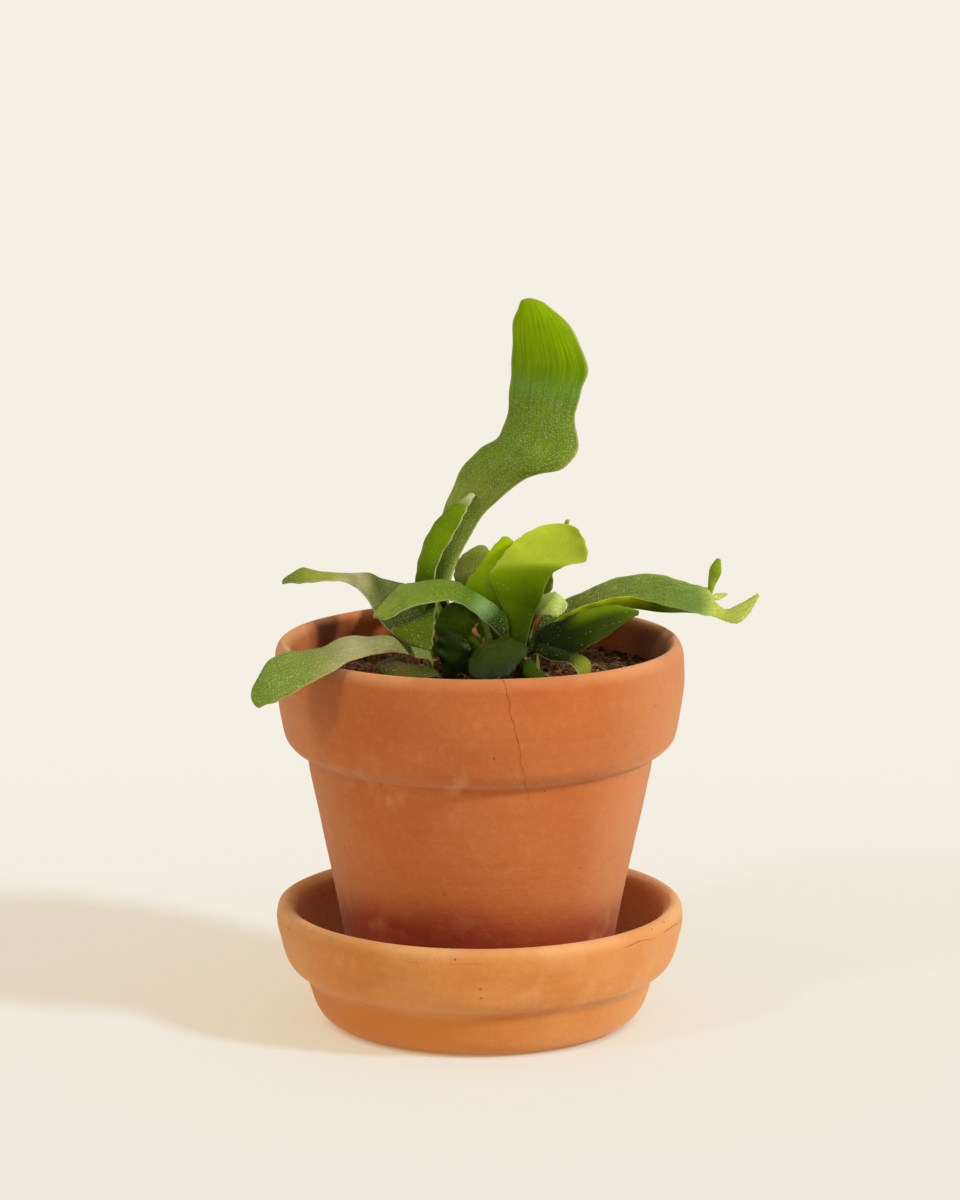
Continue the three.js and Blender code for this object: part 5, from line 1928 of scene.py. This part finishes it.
# Its dark greens are painted shade on a blade that lies in shade; only its tip is lighter.
LOOKS["front_curled_frond"] = look(
    "frond_upper",
    front=[(0, tone(28, 38, 0)), (0.6, tone(32, 42, 0)), (0.85, tone(142, 146, 42))],
    margins=(0.1, 0.3), felt=(0.1, 0.3))
LOOKS["low_front_leaf"] = look(
    "frond_dark", front=[(0, SHADE), (1, tone(58, 78, 4))], margins=(0, 0), felt=(0.05, 0.2))
print("looks so far:", len(LOOKS))

# %% Looks of the back
for name, middle, tip in (
        ("back_left_frond", OLIVE, tone(120, 142, 40)),
        ("back_middle_frond", GRASS, tone(126, 150, 36)),
        ("back_right_frond", OLIVE, tone(120, 142, 40)),
        ("back_upright_frond", GRASS, tone(140, 162, 36))):
    LOOKS[name] = look("frond_upper", front=[(0, MOSS), (0.5, middle), (1, tip)])
print("looks so far:", len(LOOKS))

# %% Looks of the heart
# The dry scale's dark lower part is painted shade; its tip keeps the scale's own colour.
DRY_AND_SHADED = [(0, tone(50, 34, 14)), (0.5, tone(76, 48, 20)), (0.8, tone(198, 134, 78))]
# The shield leaf's dark greens and darker left edge, and the heart shield leaf's dark greens, are
# painted shade in the heart of the crown.
LOOKS["shield_leaf"] = look(
    "frond_dark", front=[(0, SHADE), (0.5, tone(51, 62, 4)), (1, tone(38, 47, 6))],
    margins=(0, 0), felt=(0, 0.1), streaks=0.9, gloss=0.42, painted_left_edge=tone(22, 32, 4))
LOOKS["heart_leaf"] = look(
    "frond_dark", front=[(0, SHADE), (0.6, tone(102, 130, 4)), (1, tone(80, 104, 2))],
    margins=(0, 0), felt=(0, 0.1), streaks=0.9, gloss=0.4)
LOOKS["heart_shield_leaf"] = look(
    "frond_dark", front=[(0, SHADE), (1, tone(44, 56, 4))], margins=(0, 0), felt=(0, 0.1),
    streaks=0.6, gloss=0.35)
LOOKS["dry_scale"] = look("dry_scale", front=DRY_AND_SHADED, back=DRY_AND_SHADED, margin=TAN, felt=(0, 0))
print("looks:", len(LOOKS))

# %% [markdown]
# ### A material for each frond
#
# Leaves let a little light through, so the shader has some subsurface light, mostly green. It
# shines a little where a leaf is glossy.

# %% Make a leaf's material
LEAF_SHADER = {
    "Specular IOR Level": 0.05, "Subsurface Weight": 0.1, "Subsurface Scale": 0.0012,
    "Subsurface Radius": (0.6, 1.0, 0.15),
}
GLOSSY_SPECULAR = 0.12
LEAF_BUMP = 0.00025
LEFT_EDGE_SIDES = (0.1, -0.8)    # where across a blade the painted light and shade of its left edge fade in
LEFT_EDGE_STARTS = (0.3, 0.6)    # and where along it
LEFT_EDGE_SHARE = 0.75


def colour_ramp(wiring, value, stops):
    ramp = wiring.add("ShaderNodeValToRGB", {"Fac": value})
    elements = ramp.color_ramp.elements
    while len(elements) > 1:
        elements.remove(elements[-1])
    elements[0].position, elements[0].color = stops[0]
    for share, colour in stops[1:]:
        elements.new(share).color = colour
    return ramp.outputs["Color"]


def tint_first_lobe(wiring, colour, tint):
    from_first = wiring.calc("ABSOLUTE", wiring.minus(wiring.attribute("lobe"), 1.0))
    return wiring.mix(wiring.ramp(wiring.minus(1.0, from_first), 0.2, 0.9), colour, tint)


def tint_left_edge(wiring, colour, along, tint):
    near_edge = wiring.ramp(wiring.attribute("across"), *LEFT_EDGE_SIDES)
    started = wiring.ramp(along, *LEFT_EDGE_STARTS, 0, LEFT_EDGE_SHARE)
    return wiring.mix(wiring.times(near_edge, started), colour, tint)


def leaf_finish(name, looks):
    material, wiring, shader = new_material(name + "_leaf", LEAF_SHADER)
    along = wiring.attribute("along")
    tissue = wiring.group(LEAF, {
        "Front": colour_ramp(wiring, along, looks["front"]),
        "Back": colour_ramp(wiring, along, looks["back"]),
        "Margin": looks["margin"], "Felt": FELT, "Margin Width": MARGIN_WIDTH,
        "Left Margin": looks["margins"][0], "Right Margin": looks["margins"][1],
        "Front Felt": looks["felt"][0], "Back Felt": looks["felt"][1],
        "Bare From": looks["bare_from"], "Streaks": looks["streaks"],
    })
    colour = tissue["Color"]
    if looks["first_lobe"]:
        colour = tint_first_lobe(wiring, colour, looks["first_lobe"])
    if looks["painted_left_edge"]:
        colour = tint_left_edge(wiring, colour, along, looks["painted_left_edge"])
    feed(wiring, shader, {"Base Color": colour, "Normal": wiring.bump(tissue["Height"], LEAF_BUMP)})
    if looks["gloss"] is None:
        feed(wiring, shader, {"Roughness": tissue["Roughness"]})
    else:
        shader.inputs["Roughness"].default_value = looks["gloss"]
        shader.inputs["Specular IOR Level"].default_value = GLOSSY_SPECULAR
    return material


print("leaf shader sets:", list(LEAF_SHADER))

# %% Make the fronds
fronds = {}
for name, form in FRONDS.items():
    looks = LOOKS[name]
    finish = leaf_finish(name, looks)
    frond = thick_frond(name + "_blade", finish, **form, felt=looks["felt"],
                        bare_from=looks["bare_from"])
    dress(frond, looks["slot"], name)
    fronds[name] = frond
print("blades:", len(fronds), "faces:", sum(len(f.data.polygons) for f in fronds.values()))

# %% [markdown]
# ### Starry hairs
#
# The felt of a staghorn fern is made of tiny star-shaped hairs. Drawn as dots they look painted,
# so real stars, six thin rays on a short stalk's height, are scattered on the felted faces too.

# %% Scatter the hairs
HAIRS_PER_M2 = 1_300_000
HAIR_RAYS = 6
HAIR_STALK = 0.3                 # how high its rays start, as a share of their length
HAIR_LIFT = 0.15                 # how much higher they end
RAY_FOOT = 0.3                   # a ray is widest this share of its length from the middle
RAY_HALF_ANGLE = 0.35
HAIR_DARK = tone(150, 152, 96)
HAIR_PALE = tone(214, 210, 168)
HAIR_SMALLEST = 0.00013
HAIR_LARGEST = 0.0003
FELTED = 0.25                    # fronds whose felt is thinner than this get no hairs


def make_star():
    points, faces = [(0, 0, HAIR_STALK)], []
    for ray in range(HAIR_RAYS):
        turn = math.tau * ray / HAIR_RAYS
        for off, reach in ((-RAY_HALF_ANGLE, RAY_FOOT), (RAY_HALF_ANGLE, RAY_FOOT), (0, 1)):
            points.append((reach * math.cos(turn + off), reach * math.sin(turn + off),
                           HAIR_STALK + HAIR_LIFT * reach))
        start = 1 + 3 * ray
        faces.append((0, start, start + 2, start + 1))
    return new_piece("star", points, faces, None)


def make_hair_finish():
    constants = {"Roughness": 0.9, "Specular IOR Level": 0.1}
    material, wiring, shader = new_material("starry_hair", constants)
    colour = wiring.mix(wiring.attribute("chance"), HAIR_DARK, HAIR_PALE)
    feed(wiring, shader, {"Base Color": colour})
    return material


star = make_star()
hair_finish = make_hair_finish()
hair_faces = 0
for number, (name, frond) in enumerate(fronds.items()):
    if max(LOOKS[name]["felt"]) < FELTED:
        continue
    hairs = scatter(name + "_hairs", frond, shape=star, per_square_metre=HAIRS_PER_M2,
                    smallest=HAIR_SMALLEST, largest=HAIR_LARGEST, tilt=0.3, seed=number,
                    finish=hair_finish)
    dress(hairs, LOOKS[name]["slot"])
    hair_faces += len(hairs.data.polygons)
remove(star)
print("hair faces:", hair_faces)
